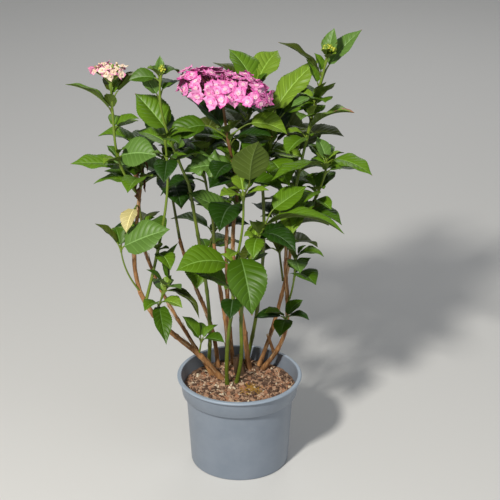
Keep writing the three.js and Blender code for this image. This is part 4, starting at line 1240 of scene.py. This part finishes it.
MASS_SEED = 1000
OLIVE_STALK_SHARE = 0.3
DARK_TONES = ("shade", "back")
SHOOT_TUBE_STEPS = 36
SHOOT_TUBE_SIDES = 10
SHOOT_NODE_SWELL = 0.55
SHOOT_NODE_REACH = 0.025
SHOOT_LAST_NODE = 0.97


def shoot_finish(spec):
    if spec.get("brown"):
        return "stalk_brown"
    return "stalk_olive" if spec["tones"] in DARK_TONES else "stalk_green"


def line_points(stem, steps):
    """Evenly spaced shares of a stem's length, and the points of its line there."""
    shares = np.linspace(0, 1, steps + 1)
    return shares, [stem.line.point(share) for share in shares]


def dress_mass(name, small):
    """The blades of one mass as one piece, and its stem and stalks as another."""
    draw = stream(MASS_SEED + list(MASSES).index(name))
    blades, twigs, stem = Skin(), Skin(), stems[name]
    for leaf in leaves[name]:
        add_leaf(blades, leaf, look_of(name, leaf["number"], draw), draw)
        add_stalk(twigs, leaf, "stalk_olive" if draw() < OLIVE_STALK_SHARE else "stalk_green")
    for row in WITHERED_LEAVES if name == WITHERED_MASS else ():
        leaf = leaf_at(row, stem)
        add_leaf(blades, leaf, WITHERED_LOOK, draw)
        add_stalk(twigs, leaf, "stalk_brown")
    for leaf in small:
        look = dict(tone=pick(AXIL_TONES, draw), twist=mix(*AXIL_TWISTS, draw()))
        add_leaf(blades, leaf, AXIL_LOOK | look, draw)
        add_stalk(twigs, leaf, "stalk_green")
    shares, points = line_points(stem, SHOOT_TUBE_STEPS)
    radii = np.array([stem.radius(share) for share in shares])
    for node in {round(leaf["share"], 2) for leaf in leaves[name]}:
        away = (shares - min(node, SHOOT_LAST_NODE)) / SHOOT_NODE_REACH
        radii = radii + SHOOT_NODE_SWELL * np.exp(-(away ** 2))
    add_tube(twigs, points, radii, SHOOT_TUBE_SIDES, shoot_finish(MASSES[name]))
    wear(blades.make(name + "_blades"), "dead_leaf" if name == DEAD_MASS else "foliage", name)
    wear(twigs.make(name + "_twigs"), "green_stem")


def dress_masses():
    for name, small in grow_axils().items():
        dress_mass(name, small)


# Canes and green stems

STUMP = "old_stump"
LIMB_SEED = 500
LIMB_SIDES = 14
LIMB_STEP = 2.5
LIMB_LEAST_STEPS = 12
LIMB_SLIMNESS = 0.97
NODE_SPACINGS = (45, 70)
NODE_LAST = 0.98
NODE_REACH = 0.012
CANE_NODE_SWELL = 0.22
GREEN_NODE_SWELL = 0.2
GREEN_OVAL = 0.02
CANE_SEED_STEP = 3.7
BARK_CREASE = 40

# Ridges and grain of a cane's bark: their depth, and how close they lie round it and along it
RIDGES = dict(depth=0.10, around=2.2, along=9)
GRAIN = dict(depth=0.05, around=5, along=40)


def ring_noise(kind, share, angles, seed):
    around, height = kind["around"], share * kind["along"] + seed
    return kind["depth"] * np.array([
        noise.noise(Vector((math.cos(a) * around, math.sin(a) * around, height))) for a in angles])


def node_swell(share, nodes, swell):
    return sum(swell * math.exp(-(((share - node) / NODE_REACH) ** 2)) for node in nodes)


def cane_relief(seed, nodes):
    """Ridges along a cane and a swelling at each of its nodes."""
    return lambda share, angles: (1 + ring_noise(RIDGES, share, angles, seed)
                                  + ring_noise(GRAIN, share, angles, seed)
                                  + node_swell(share, nodes, CANE_NODE_SWELL))


def green_relief(nodes):
    """A slightly oval green stem with a swelling at each of its nodes."""
    return lambda share, angles: (1 + GREEN_OVAL * np.cos(angles * 2)
                                  + node_swell(share, nodes, GREEN_NODE_SWELL))


# Strips of bark that peel off a cane, in millimetres
FLAKE_SPACING = 9
FLAKE_PLACES = (0.03, 0.9)
FLAKE_SPANS = (9, 24)
FLAKE_WIDTHS = (1.2, 2.4)
FLAKE_LIFTS = (0.4, 2.2)
FLAKE_ROWS = 4
FLAKE_SEAT = 1.06
FLAKE_NARROWING = 0.5
FLAKE_THICKNESS = 0.35


def add_flake(skin, stem, draw):
    """One strip of peeling bark, lifting and narrowing toward one end."""
    share, turn = mix(*FLAKE_PLACES, draw()), 2 * math.pi * draw()
    span, wide, lift = mix(*FLAKE_SPANS, draw()), mix(*FLAKE_WIDTHS, draw()), mix(*FLAKE_LIFTS, draw())
    length = np.linalg.norm(stem.line.end - stem.line.start)
    rows, middles = [], []
    for k in range(FLAKE_ROWS + 1):
        along = k / FLAKE_ROWS
        here = min(1.0, share + along * span / length)
        tangent, middle = stem.line.tangent(here), stem.line.point(here)
        across = unit(np.cross(tangent, reference_for(tangent)))
        other = np.cross(tangent, across)
        reach = stem.radius(here) * FLAKE_SEAT + lift * along ** 2
        angles = [turn + side * wide * (1 - FLAKE_NARROWING * along) / stem.radius(here) / 2
                  for side in (-1, 0, 1)]
        rows.append([middle + reach * (math.cos(a) * across + math.sin(a) * other) for a in angles])
        middles.append([middle] * 3)
    top = np.array(rows)
    inward = top - np.array(middles)
    bottom = top - FLAKE_THICKNESS * inward / np.linalg.norm(inward, axis=-1)[..., None]
    finishes = np.full((FLAKE_ROWS, 2), skin.slot("bark_flake"))
    add_sheet(skin, top[:, ::-1], bottom[:, ::-1], finishes, finishes)


# A pruned stub low on one cane, with a pale cut end
STUB_CANE = "right_cane"
STUB_SHARE = 0.13
STUB_END = (43, 46, 188)
STUB_SHARES = (0, 0.3, 0.7, 0.96)
STUB_RADII = (3, 2.6, 2.4, 2.3)
STUB_CUT_RADII = (2.2, 2.1)
STUB_SIDES = 9


def add_stub(skin, stem):
    root = stem.line.point(STUB_SHARE)
    stub = [mix(root, np.array(STUB_END, float), share) for share in STUB_SHARES]
    add_tube(skin, stub, STUB_RADII, STUB_SIDES, "bark")
    add_tube(skin, [stub[-1], STUB_END], STUB_CUT_RADII, STUB_SIDES, "bark_pale")


def dress_limb(name, index):
    """A cane, green stem or stump with its nodes, and on wood its ridges, flakes and stub."""
    stem, draw, skin = stems[name], stream(LIMB_SEED + index), Skin()
    green = name.startswith("green")
    length = np.linalg.norm(stem.line.end - stem.line.start)
    spacing = mix(*NODE_SPACINGS, draw()) / length
    nodes = () if name == STUMP else np.arange(spacing, NODE_LAST, spacing)
    finish = "green_bark" if green else ("bark_dark" if name == STUMP else "bark")
    relief = green_relief(nodes) if green else cane_relief(index * CANE_SEED_STEP, nodes)
    shares, points = line_points(stem, max(LIMB_LEAST_STEPS, int(length / LIMB_STEP)))
    radii = [stem.radius(share) * LIMB_SLIMNESS for share in shares]
    add_tube(skin, points, radii, LIMB_SIDES, finish, relief)
    for _ in range(0 if green else int(length / FLAKE_SPACING)):
        add_flake(skin, stem, draw)
    if name == STUB_CANE:
        add_stub(skin, stem)
    wear(skin.make(name + "_bark", BARK_CREASE), "green_stem" if green else "bark", name)


# Flower heads

SEPALS = 4
SEPAL_WIDTH = 0.52
SEPAL_ROWS = 6
SEPAL_COLUMNS = 7
SEPAL_ROOT = 0.04
SEPAL_RUFFLE = 0.05
SEPAL_RUFFLES = 3
RUFFLE_PHASES = 6
SEPAL_CUPS = (0.05, 0.28)
SEPAL_CUP_CURVE = 1.4
SEPAL_SIDE_SAG = 0.12
SEPAL_ROUNDNESS = 0.10
SEPAL_THICKNESS = 0.35
SEPAL_HEART = 0.2
SEPAL_INNER = 0.45

# The smaller sepals inside a double floret: their size, how far up they sit and their tones
INNER_RINGS = (
    (0.68, 0.8, ("pink_heart", "pink_pale", "pink_mid", "pink_under")),
    (0.40, 1.7, ("pink_heart", "pink_heart", "pink_pale", "pink_pale")),
)

# How a head's florets vary: its lumps and hollows, and each floret's depth, lean and size
HEAD_LUMPS = 1.9
HEAD_HOLLOW = -0.4
HEAD_DEPTHS = (0.74, 1.12)
HEAD_UNEVENNESS = (0.95, 1.05)
HEAD_UNREST = 0.9
HEAD_UNREST_MIDDLE = (0.5, 0.5, 0.4)
PETAL_SIZES = (0.82, 1.12)
SEPAL_SIZES = (0.85, 1.15)
SEPAL_TURNS = (-0.15, 0.15)
INNER_SIZES = (0.8, 1.15)
INNER_TURNS = (-0.2, 0.2)
INNER_TURN_STEP = 0.2
PINK_SHADES = ("pink_bright", "pink_mid", "pink_mid", "pink_pale")

# How many cream florets have a pink rim, at the head's left and at its right
RIMMED_LEFT = 0.85
RIMMED_RIGHT = 0.3
RIMMED_LIMIT = 0.2

# Beads: their rings by height and by radius
BEAD_HEIGHTS = (-0.6, -0.2, 0.4, 0.9, 1.1)
BEAD_RADII = (0.5, 0.95, 1, 0.6, 0.1)
BEAD_SIDES = 7
DOUBLE_BEAD = dict(height=1.8, radius=0.9)
SINGLE_BEAD = dict(height=0.5, radius=1.5)

# Rays, and the neck that they fork from
RAY_FORKS = (2, 14)
RAY_STEPS = 7
RAY_SAG = -0.12
RAY_RADII = (1.1, 0.6)
RAY_SIDES = 5
RAY_END = 0.4
NECK_ROOT = 3
NECK_LENGTH = 16
NECK_RADII = (2.0, 1.95, 1.8, 1.5, 0.8)
NECK_SIDES = 10

# Buds in the middle of the young head
YOUNG_BUDS = 16
YOUNG_BUD_OFFSET = 0.4
YOUNG_BUD_SPREAD = 0.75
YOUNG_BUD_DEPTHS = (0.95, 1.2)
YOUNG_BUD_SIZES = (0.8, 1.25)
YOUNG_BUD_RADIUS = 1.6
YOUNG_STALK_RADII = (0.9, 0.7, 0.6)


def add_sepal(skin, floret, turn, reach, draw, finishes):
    """One sepal of a floret: broad, a little ruffled, cupped at its base."""
    middle, right, ahead, out = floret
    share = np.linspace(SEPAL_ROOT, 1, SEPAL_ROWS)[:, None]
    across = np.linspace(-1, 1, SEPAL_COLUMNS)[None, :]
    size = np.abs(across)
    width = SEPAL_WIDTH * reach * np.sin(math.pi * np.clip(mix(SEPAL_ROOT, 1, share), 0, 1))
    ruffle = SEPAL_RUFFLE * reach * np.sin(SEPAL_RUFFLES * across + RUFFLE_PHASES * draw()) * share
    cup = reach * (mix(*SEPAL_CUPS, draw()) * share ** SEPAL_CUP_CURVE - SEPAL_SIDE_SAG * size ** 2 * share)
    forward = share * reach * (1 - SEPAL_ROUNDNESS * size ** 2)
    way = math.cos(turn) * right + math.sin(turn) * ahead
    cross = -math.sin(turn) * right + math.cos(turn) * ahead
    top = middle + forward[..., None] * way + (across * width)[..., None] * cross \
        + (cup + ruffle)[..., None] * out
    heart, inner, outer, under = (skin.slot(finish) for finish in finishes)
    strips = np.where(share[:-1] < SEPAL_HEART, heart, np.where(share[:-1] < SEPAL_INNER, inner, outer))
    faces = (SEPAL_ROWS - 1, SEPAL_COLUMNS - 1)
    add_sheet(skin, top, top - out * SEPAL_THICKNESS, np.broadcast_to(strips, faces), np.full(faces, under))


def add_bead(skin, middle, out, radius, finish):
    points = [middle + out * height * radius for height in BEAD_HEIGHTS]
    add_tube(skin, points, [radius * wide for wide in BEAD_RADII], BEAD_SIDES, finish)


def floret_frame(head, way, lump, draw):
    """A floret's middle on its head's dome, and its own right, ahead and outward directions."""
    reach, lean = np.array(head["reach"], float), head["lean"]
    depth = mix(*HEAD_DEPTHS, smooth(HEAD_HOLLOW, -HEAD_HOLLOW, lump)) * mix(*HEAD_UNEVENNESS, draw())
    at = leaning(way * reach * depth, lean) + np.array(head["middle"], float)
    upright = unit(way / reach + (lean * way[2] / reach[2], 0, 0))
    out = unit(upright + HEAD_UNREST * np.array([draw() - middle for middle in HEAD_UNREST_MIDDLE]))
    right = unit(np.cross(out, reference_for(out)))
    return at, right, np.cross(out, right), out


def floret_finishes(pink, way, draw):
    """A floret's heart, inner, outer and under finishes."""
    if pink:
        return "pink_heart", "pink_pale", pick(PINK_SHADES, draw), "pink_under"
    rimmed = draw() < (RIMMED_LEFT if way[0] < RIMMED_LIMIT else RIMMED_RIGHT)
    return "eye", "cream_petal", "cream_rim" if rimmed else "cream_petal", "cream_rim"


def add_floret(skin, frame, way, head, pink, draw):
    """Four sepals round a bead, and on a double floret the smaller sepals inside them."""
    at, right, ahead, out = frame
    quarter = 2 * math.pi / SEPALS
    spin = draw() * math.pi
    petal = head["petal"] * mix(*PETAL_SIZES, draw())
    finishes = floret_finishes(pink, way, draw)
    for side in range(SEPALS):
        add_sepal(skin, frame, spin + side * quarter + mix(*SEPAL_TURNS, draw()),
                  petal * mix(*SEPAL_SIZES, draw()), draw, finishes)
    for number, (scale, lift, tones) in enumerate(INNER_RINGS if pink else ()):
        for side in range(SEPALS):
            turn = spin + (side + 0.5 - INNER_TURN_STEP * number) * quarter + mix(*INNER_TURNS, draw())
            add_sepal(skin, (at + out * lift, right, ahead, out), turn,
                      petal * scale * mix(*INNER_SIZES, draw()), draw, tones)
    bead = DOUBLE_BEAD if pink else SINGLE_BEAD
    add_bead(skin, at + out * bead["height"], out, bead["radius"], "eye")


def dress_head(name):
    """Florets of four sepals over the dome, their rays below, each kind joined."""
    head, draw = HEADS[name], stream(HEADS[name]["seed"])
    pink = name == "pink_flower_head"
    petals, rays = Skin(), Skin()
    reach, middle = np.array(head["reach"], float), np.array(head["middle"], float)
    line = stems[head["on"]].line
    tip, tangent = line.point(1), line.tangent(1)
    share = np.linspace(0, 1, RAY_STEPS)[:, None]
    for k in range(head["florets"]):
        way = spiral_way(k, mix(1, head["low"], (k + 0.5) / head["florets"]))
        lump = noise.noise(Vector(way * HEAD_LUMPS) + Vector((head["seed"], 0, 0)))
        if lump < HEAD_HOLLOW:
            continue
        frame = floret_frame(head, way, lump, draw)
        add_floret(petals, frame, way, head, pink, draw)
        at, out = frame[0], frame[3]
        fork = tip + tangent * mix(*RAY_FORKS, draw())
        knee = mix(fork, at, 0.5) + np.array((0, 0, RAY_SAG * reach[2]))
        add_tube(rays, quadratic(fork, knee, at - out * RAY_END, share), np.linspace(*RAY_RADII, RAY_STEPS),
                 RAY_SIDES, "stalk_red" if pink else "stalk_green")
    for k in range(0 if pink else YOUNG_BUDS):
        level = YOUNG_BUD_SPREAD * math.sqrt((k + 0.5) / YOUNG_BUDS)
        way = spiral_way(k + YOUNG_BUD_OFFSET, math.sqrt(1 - level * level))
        at = way * reach * mix(*YOUNG_BUD_DEPTHS, draw()) + middle
        radius = YOUNG_BUD_RADIUS * mix(*YOUNG_BUD_SIZES, draw())
        add_bead(petals, at, unit(way / reach), radius, pick(("bud_green", "eye"), draw))
        add_tube(rays, [mix(tip, at, along) for along in (0, 0.5, 1)], YOUNG_STALK_RADII, RAY_SIDES,
                 "stalk_green")
    neck = [mix(tip - tangent * NECK_ROOT, tip + tangent * NECK_LENGTH, along)
            for along in np.linspace(0, 1, len(NECK_RADII))]
    add_tube(rays, neck, NECK_RADII, NECK_SIDES, "stalk_brown" if pink else "stalk_green")
    wear(petals.make(name + "_petals"), head["slot"], name)
    wear(rays.make(name + "_rays"), "green_stem")


# Buds at a mass's tip: their spread in millimetres, how far past the tip, their number and radius
BUD_CLUSTERS = {
    "right_top_leaves": dict(reach=(9, 9, 5), lift=5, count=44, bead=1.9),
    "mid_left_leaves": dict(reach=(4, 4, 7), lift=8, count=20, bead=1.6),
}
BUD_SEED = 700
BUD_LOW = -0.35
BUD_DEPTHS = (0.85, 1.1)
BUD_SIZES = (0.8, 1.2)
YELLOW_BUD_SHARE = 0.4
BUD_STALK_SHARES = (0, 0.4, 0.8, 1)
BUD_STALK_RADII = (1.2, 1, 0.8, 0.7)


def dress_buds():
    """Green and yellow flower buds crowded on a low dome over the tips that carry them."""
    skin = Skin()
    for number, (name, spec) in enumerate(BUD_CLUSTERS.items()):
        draw, line = stream(BUD_SEED + number), stems[name].line
        tip = line.point(1)
        middle = tip + line.tangent(1) * spec["lift"]
        for k in range(spec["count"]):
            way = spiral_way(k, mix(1, BUD_LOW, (k + 0.5) / spec["count"]))
            at = middle + way * np.array(spec["reach"], float) * mix(*BUD_DEPTHS, draw())
            finish = "bud" if draw() < YELLOW_BUD_SHARE else "bud_green"
            add_bead(skin, at, unit(way + (0, 0, 0.5)), spec["bead"] * mix(*BUD_SIZES, draw()), finish)
            add_tube(skin, [mix(tip, at, along) for along in BUD_STALK_SHARES], BUD_STALK_RADII, RAY_SIDES,
                     "stalk_green")
    wear(skin.make("flower_buds"), "foliage")


# Pot

POT_MIDDLE = 0.01
POT_BAND_CUT = (1, 0.4)
POT_LIP_CUT = (0.6, 0.1)
POT_LIP_EDGE = 1
POT_BEVEL = 1.2
POT_BAND_INSIDE_RISE = 3
POT_ROUND_CORNERS = (2, 3, 8, 9, 10, 11)
POT_CREASE = 35
ARC_SHARE = 0.45
HOLE_SIDES = 24


def turned(profile, sides):
    """The points of a profile turned round the upright axis, ring by ring."""
    return np.array([[(r * math.cos(a), r * math.sin(a), z) for a in angles_round(sides)]
                     for r, z in profile])


def rounded(profile, corners, radius, steps=4):
    """A profile with the chosen corners turned into short arcs."""
    points = []
    for k, here in enumerate(profile):
        if k not in corners:
            points.append(here)
            continue
        here = np.array(here, float)
        start, stop = (here + unit(other - here) * min(radius, ARC_SHARE * np.linalg.norm(other - here))
                       for other in (np.array(profile[k - 1], float), np.array(profile[k + 1], float)))
        points += [tuple(quadratic(start, here, stop, share)) for share in np.linspace(0, 1, steps + 1)]
    return points


def dress_pot():
    """The pot's shell, turned from its profile: up the outside, over the lip and down the inside."""
    lip_foot, band_foot = POT_HEIGHT - POT_LIP_HEIGHT, POT_SHOULDER_HEIGHT + POT_EDGE
    profile = rounded((
        (POT_MIDDLE, 0),
        (POT_BASE_RADIUS - POT_EDGE, 0),
        (POT_BASE_RADIUS, POT_EDGE),
        (POT_SHOULDER_RADIUS, POT_SHOULDER_HEIGHT),
        (POT_BAND_FOOT_RADIUS - POT_BAND_CUT[0], POT_SHOULDER_HEIGHT + POT_BAND_CUT[1]),
        (POT_BAND_FOOT_RADIUS, band_foot),
        (POT_BAND_TOP_RADIUS, lip_foot),
        (POT_LIP_RADIUS - POT_LIP_CUT[0], lip_foot + POT_LIP_CUT[1]),
        (POT_LIP_RADIUS, lip_foot + POT_LIP_EDGE),
        (POT_LIP_RADIUS, POT_HEIGHT - POT_BEVEL),
        (POT_LIP_RADIUS - POT_BEVEL, POT_HEIGHT),
        (POT_BAND_TOP_RADIUS - POT_WALL, POT_HEIGHT),
        (POT_BAND_FOOT_RADIUS - POT_WALL, POT_SHOULDER_HEIGHT + POT_BAND_INSIDE_RISE),
        (POT_SHOULDER_RADIUS - POT_WALL, band_foot),
        (POT_BASE_RADIUS - POT_WALL, POT_FLOOR),
        (POT_MIDDLE, POT_FLOOR),
    ), POT_ROUND_CORNERS, POT_BEVEL)
    skin = Skin()
    # The top of the lip takes a lighter finish, a painted highlight where the light falls on it.
    on_lit_lip = [r > POT_BAND_TOP_RADIUS and z > lip_foot + POT_LIP_EDGE for r, z in profile]
    slots = [skin.slot("pot_lip_highlight" if edge else "pot") for edge in on_lit_lip]
    skin.add_rings(turned(profile, POT_SIDES), np.repeat(slots, POT_SIDES), closed=True)
    shell = skin.make("pot_shell", POT_CREASE)
    cut_drain_holes(shell)
    wear(shell, "pot", "pot")


def cut_drain_holes(shell):
    """Cuts the row of drain holes through the pot's floor."""
    skin = Skin()
    for k in range(DRAIN_HOLES):
        turn = 2 * math.pi * (k + 0.5) / DRAIN_HOLES
        centre = np.array((DRAIN_HOLE_CIRCLE * math.cos(turn), DRAIN_HOLE_CIRCLE * math.sin(turn), 0))
        ends = [centre + (0, 0, height) for height in (-POT_FLOOR, 0, 2 * POT_FLOOR)]
        add_tube(skin, ends, np.full(3, DRAIN_HOLE_RADIUS), HOLE_SIDES, "pot")
    cutter = skin.make("drain_cutter")
    cut = shell.modifiers.new("drain_holes", "BOOLEAN")
    cut.operation, cut.solver, cut.object = "DIFFERENCE", "EXACT", cutter
    graph = bpy.context.evaluated_depsgraph_get()
    shell.data = bpy.data.meshes.new_from_object(shell.evaluated_get(graph))
    shell.modifiers.clear()
    bpy.data.objects.remove(cutter)


# Compost: how it swells and mounds, in millimetres, the mound's spread in square millimetres

COMPOST_SEED = 77
COMPOST_MIDDLE = 0.4
COMPOST_SINK = 0.6
COMPOST_SWELLS = (dict(size=26, seed=3.1, height=1.5), dict(size=7, seed=8.2, height=1.9),
                  dict(size=2.6, seed=1.7, height=1.0))
MOUND_HEIGHT = 2.2
MOUND_MIDDLE = (-4, 28)
MOUND_SPREAD = 1500
COMPOST_CREASE = 80

# The fill's profile under its top, down the pot's inside and over its floor: radius and height
COMPOST_PROFILE = (
    (COMPOST_RADIUS - 1, POT_SHOULDER_HEIGHT + 5),
    (POT_SHOULDER_RADIUS - 4, POT_SHOULDER_HEIGHT - 3),
    (POT_BASE_RADIUS - 4, POT_FLOOR + 1),
    (COMPOST_MIDDLE, POT_FLOOR + 1),
)

# Chips of bark on the compost, in millimetres
CHIPS = 1500
CHIP_MARGIN = 4
CHIP_LENGTHS = (2.2, 9)
CHIP_WIDTHS = (0.4, 0.85)
CHIP_HEIGHTS = (0.8, 3)
CHIP_SINK = -0.3
CHIP_TILTS = (-0.5, 0.5)
CHIP_STRETCHES = (0.7, 1.1)
CHIP_TOPS = ((0.2, 0.5), (-0.5, -0.2))
CHIP_FACES = ((0, 1, 2, 3), (7, 6, 5, 4), (0, 4, 5, 1), (1, 5, 6, 2), (2, 6, 7, 3), (3, 7, 4, 0))
CHIP_KINDS = ("chip_brown", "chip_dark", "chip_dark", "chip_red", "chip_brown", "chip_tan", "chip_pale")
CHIP_DARK_SHARE = 0.7
CHIP_DARK_KINDS = 0.83
CHIP_CREASE = 30

# Threads on the compost, and the patch of moss in front
FIBRES = 130
FIBRE_MARGIN = 9
FIBRE_LENGTHS = (8, 26)
FIBRE_BENDS = (-2.2, 2.2)
FIBRE_ARCH = 1.4
FIBRE_RADII = (0.22, 0.5)
FIBRE_LIMIT = 82
FIBRE_STEPS = 6
FIBRE_SIDES = 4
FIBRE_RISE = 0.1
FIBRE_KINDS = ("chip_tan", "chip_pale", "chip_brown")
MOSS_THREADS = 160
MOSS_MIDDLE = (18, -14)
MOSS_SPREAD = 17
MOSS_LENGTHS = (3, 9)
MOSS_RISE = 0.2


def compost_height(x, y):
    """The compost's surface in millimetres: uneven, a little higher round the stems."""
    height = COMPOST_TOP - COMPOST_SINK
    for swell in COMPOST_SWELLS:
        spot = Vector((x / swell["size"], y / swell["size"], swell["seed"]))
        height += swell["height"] * noise.noise(spot)
    away = (x - MOUND_MIDDLE[0]) ** 2 + (y - MOUND_MIDDLE[1]) ** 2
    return height + MOUND_HEIGHT * math.exp(-away / MOUND_SPREAD)


def spot_on_compost(margin, draw):
    """A random spot on the compost, a margin inside its edge."""
    radius, turn = (COMPOST_RADIUS - margin) * math.sqrt(draw()), 2 * math.pi * draw()
    return radius * math.cos(turn), radius * math.sin(turn)


def add_chip(skin, at, size, draw, finish):
    """One irregular chip of bark lying on the compost."""
    long, wide, thick = size
    turn, tilt = 2 * math.pi * draw(), mix(*CHIP_TILTS, draw())
    way = np.array((math.cos(turn) * math.cos(tilt), math.sin(turn) * math.cos(tilt), math.sin(tilt)))
    side = unit(np.cross((0, 0, 1), way))
    up = np.cross(way, side)
    corners = []
    for end in (-0.5, 0.5):
        tops = [mix(*ends, draw()) for ends in CHIP_TOPS]
        for across, height in ((-0.5, 0), (0.5, 0), (tops[0], 1), (tops[1], 1)):
            stretch = mix(*CHIP_STRETCHES, draw())
            corners.append(at + way * long * end * stretch + side * wide * across * stretch
                           + up * thick * height)
    first = skin.add_points(corners)
    skin.add_quads(first + np.array(CHIP_FACES), finish)


def add_fibre(skin, at, length, draw, finish):
    """A thin curved thread lying on the compost."""
    turn, bend = 2 * math.pi * draw(), mix(*FIBRE_BENDS, draw())
    points, here = [], np.array(at, float)
    for k in range(FIBRE_STEPS + 1):
        points.append(here + (0, 0, FIBRE_ARCH * math.sin(math.pi * k / FIBRE_STEPS)))
        here = here + length / FIBRE_STEPS * np.array((math.cos(turn), math.sin(turn), 0))
        here[:2] *= min(1, FIBRE_LIMIT / math.hypot(*here[:2]))
        turn += bend / FIBRE_STEPS
    add_tube(skin, points, np.full(len(points), mix(*FIBRE_RADII, draw())), FIBRE_SIDES, finish)


def dress_compost():
    """The compost's fill with its uneven top, and the chips and threads that lie on it."""
    draw = stream(COMPOST_SEED)
    top = [[(x, y, compost_height(x, y)) for x, y, _ in ring]
           for ring in turned([(r, 0) for r in np.linspace(COMPOST_MIDDLE, COMPOST_RADIUS, COMPOST_RINGS)],
                              COMPOST_SIDES)]
    low = turned(COMPOST_PROFILE, COMPOST_SIDES)
    fill, chips, fibres = Skin(), Skin(), Skin()
    fill.add_rings(np.concatenate((top, low)), "compost", closed=True, order=(0, 3, 2, 1))
    for _ in range(CHIPS):
        x, y = spot_on_compost(CHIP_MARGIN, draw)
        long = mix(*CHIP_LENGTHS, draw() ** 2)
        kinds = draw() * len(CHIP_KINDS) * (CHIP_DARK_KINDS if draw() < CHIP_DARK_SHARE else 1)
        size = long, long * mix(*CHIP_WIDTHS, draw()), mix(*CHIP_HEIGHTS, draw())
        at = np.array((x, y, compost_height(x, y) + CHIP_SINK))
        add_chip(chips, at, size, draw, CHIP_KINDS[int(kinds)])
    for _ in range(FIBRES):
        x, y = spot_on_compost(FIBRE_MARGIN, draw)
        finish = pick(FIBRE_KINDS, draw)
        at = x, y, compost_height(x, y) + FIBRE_RISE
        add_fibre(fibres, at, mix(*FIBRE_LENGTHS, draw()), draw, finish)
    for _ in range(MOSS_THREADS):
        x, y = (middle + MOSS_SPREAD * (draw() + draw() - 1) for middle in MOSS_MIDDLE)
        add_fibre(fibres, (x, y, compost_height(x, y) + MOSS_RISE), mix(*MOSS_LENGTHS, draw()), draw, "moss")
    wear(fill.make("compost_body", COMPOST_CREASE), "compost", "compost")
    wear(chips.make("compost_chips", CHIP_CREASE), "compost")
    wear(fibres.make("compost_fibres"), "compost")


# Studio, in metres

CAMERA_PLACE = (0.016, -2.2, 1.336)
CAMERA_TILT = 65.88
CAMERA_LENS = 117.65
SKY = (0.93, 0.96, 1.0)
SKY_STRENGTH = 0.22
LIT_POINT = (0, 0, 0.35)
LIGHTS = {
    "key_light": dict(place=(-0.95, -1.9, 2.2), size=0.3, power=76, colour=(1, 0.97, 0.9)),
    "fill_light": dict(place=(1.8, -1.4, 1.2), size=1.6, power=5, colour=(0.92, 0.96, 1)),
    "rear_light": dict(place=(0.4, 2.2, 1.9), size=1.4, power=9, colour=(1, 1, 1)),
}
FLOOR_SIZE = 14
FLOOR_COLOUR = (0.74, 0.735, 0.72)
FLOOR_ROUGHNESS = 0.9


def set_camera():
    scene = bpy.context.scene
    camera = place("camera", bpy.data.cameras.new("camera"))
    camera.location = CAMERA_PLACE
    camera.rotation_euler = (math.radians(CAMERA_TILT), 0, 0)
    camera.data.lens = CAMERA_LENS
    scene.camera = camera
    scene.view_settings.view_transform = "Standard"


def set_lights():
    world = bpy.data.worlds.new("studio")
    world.use_nodes = True
    background = world.node_tree.nodes["Background"]
    background.inputs["Color"].default_value = (*SKY, 1)
    background.inputs["Strength"].default_value = SKY_STRENGTH
    bpy.context.scene.world = world
    for name, light in LIGHTS.items():
        lamp = bpy.data.lights.new(name, "AREA")
        lamp.shape, lamp.size = "DISK", light["size"]
        lamp.energy, lamp.color = light["power"], light["colour"]
        thing = place(name, lamp)
        thing.location = light["place"]
        toward = Vector(LIT_POINT) - Vector(light["place"])
        thing.rotation_euler = toward.to_track_quat("-Z", "Y").to_euler()


def set_floor():
    half = FLOOR_SIZE / 2
    mesh = bpy.data.meshes.new("floor")
    corners = [(-half, -half, 0), (half, -half, 0), (half, half, 0), (-half, half, 0)]
    mesh.from_pydata(corners, [], [(0, 1, 2, 3)])
    mesh.materials.append(plain("floor", FLOOR_COLOUR, FLOOR_ROUGHNESS))
    place("floor", mesh)


dress_masses()
for limb_index, limb_name in enumerate(LIMBS):
    dress_limb(limb_name, limb_index)
for head_name in HEADS:
    dress_head(head_name)
dress_buds()
dress_pot()
dress_compost()
set_camera()
set_lights()
set_floor()

bpy.context.view_layer.update()
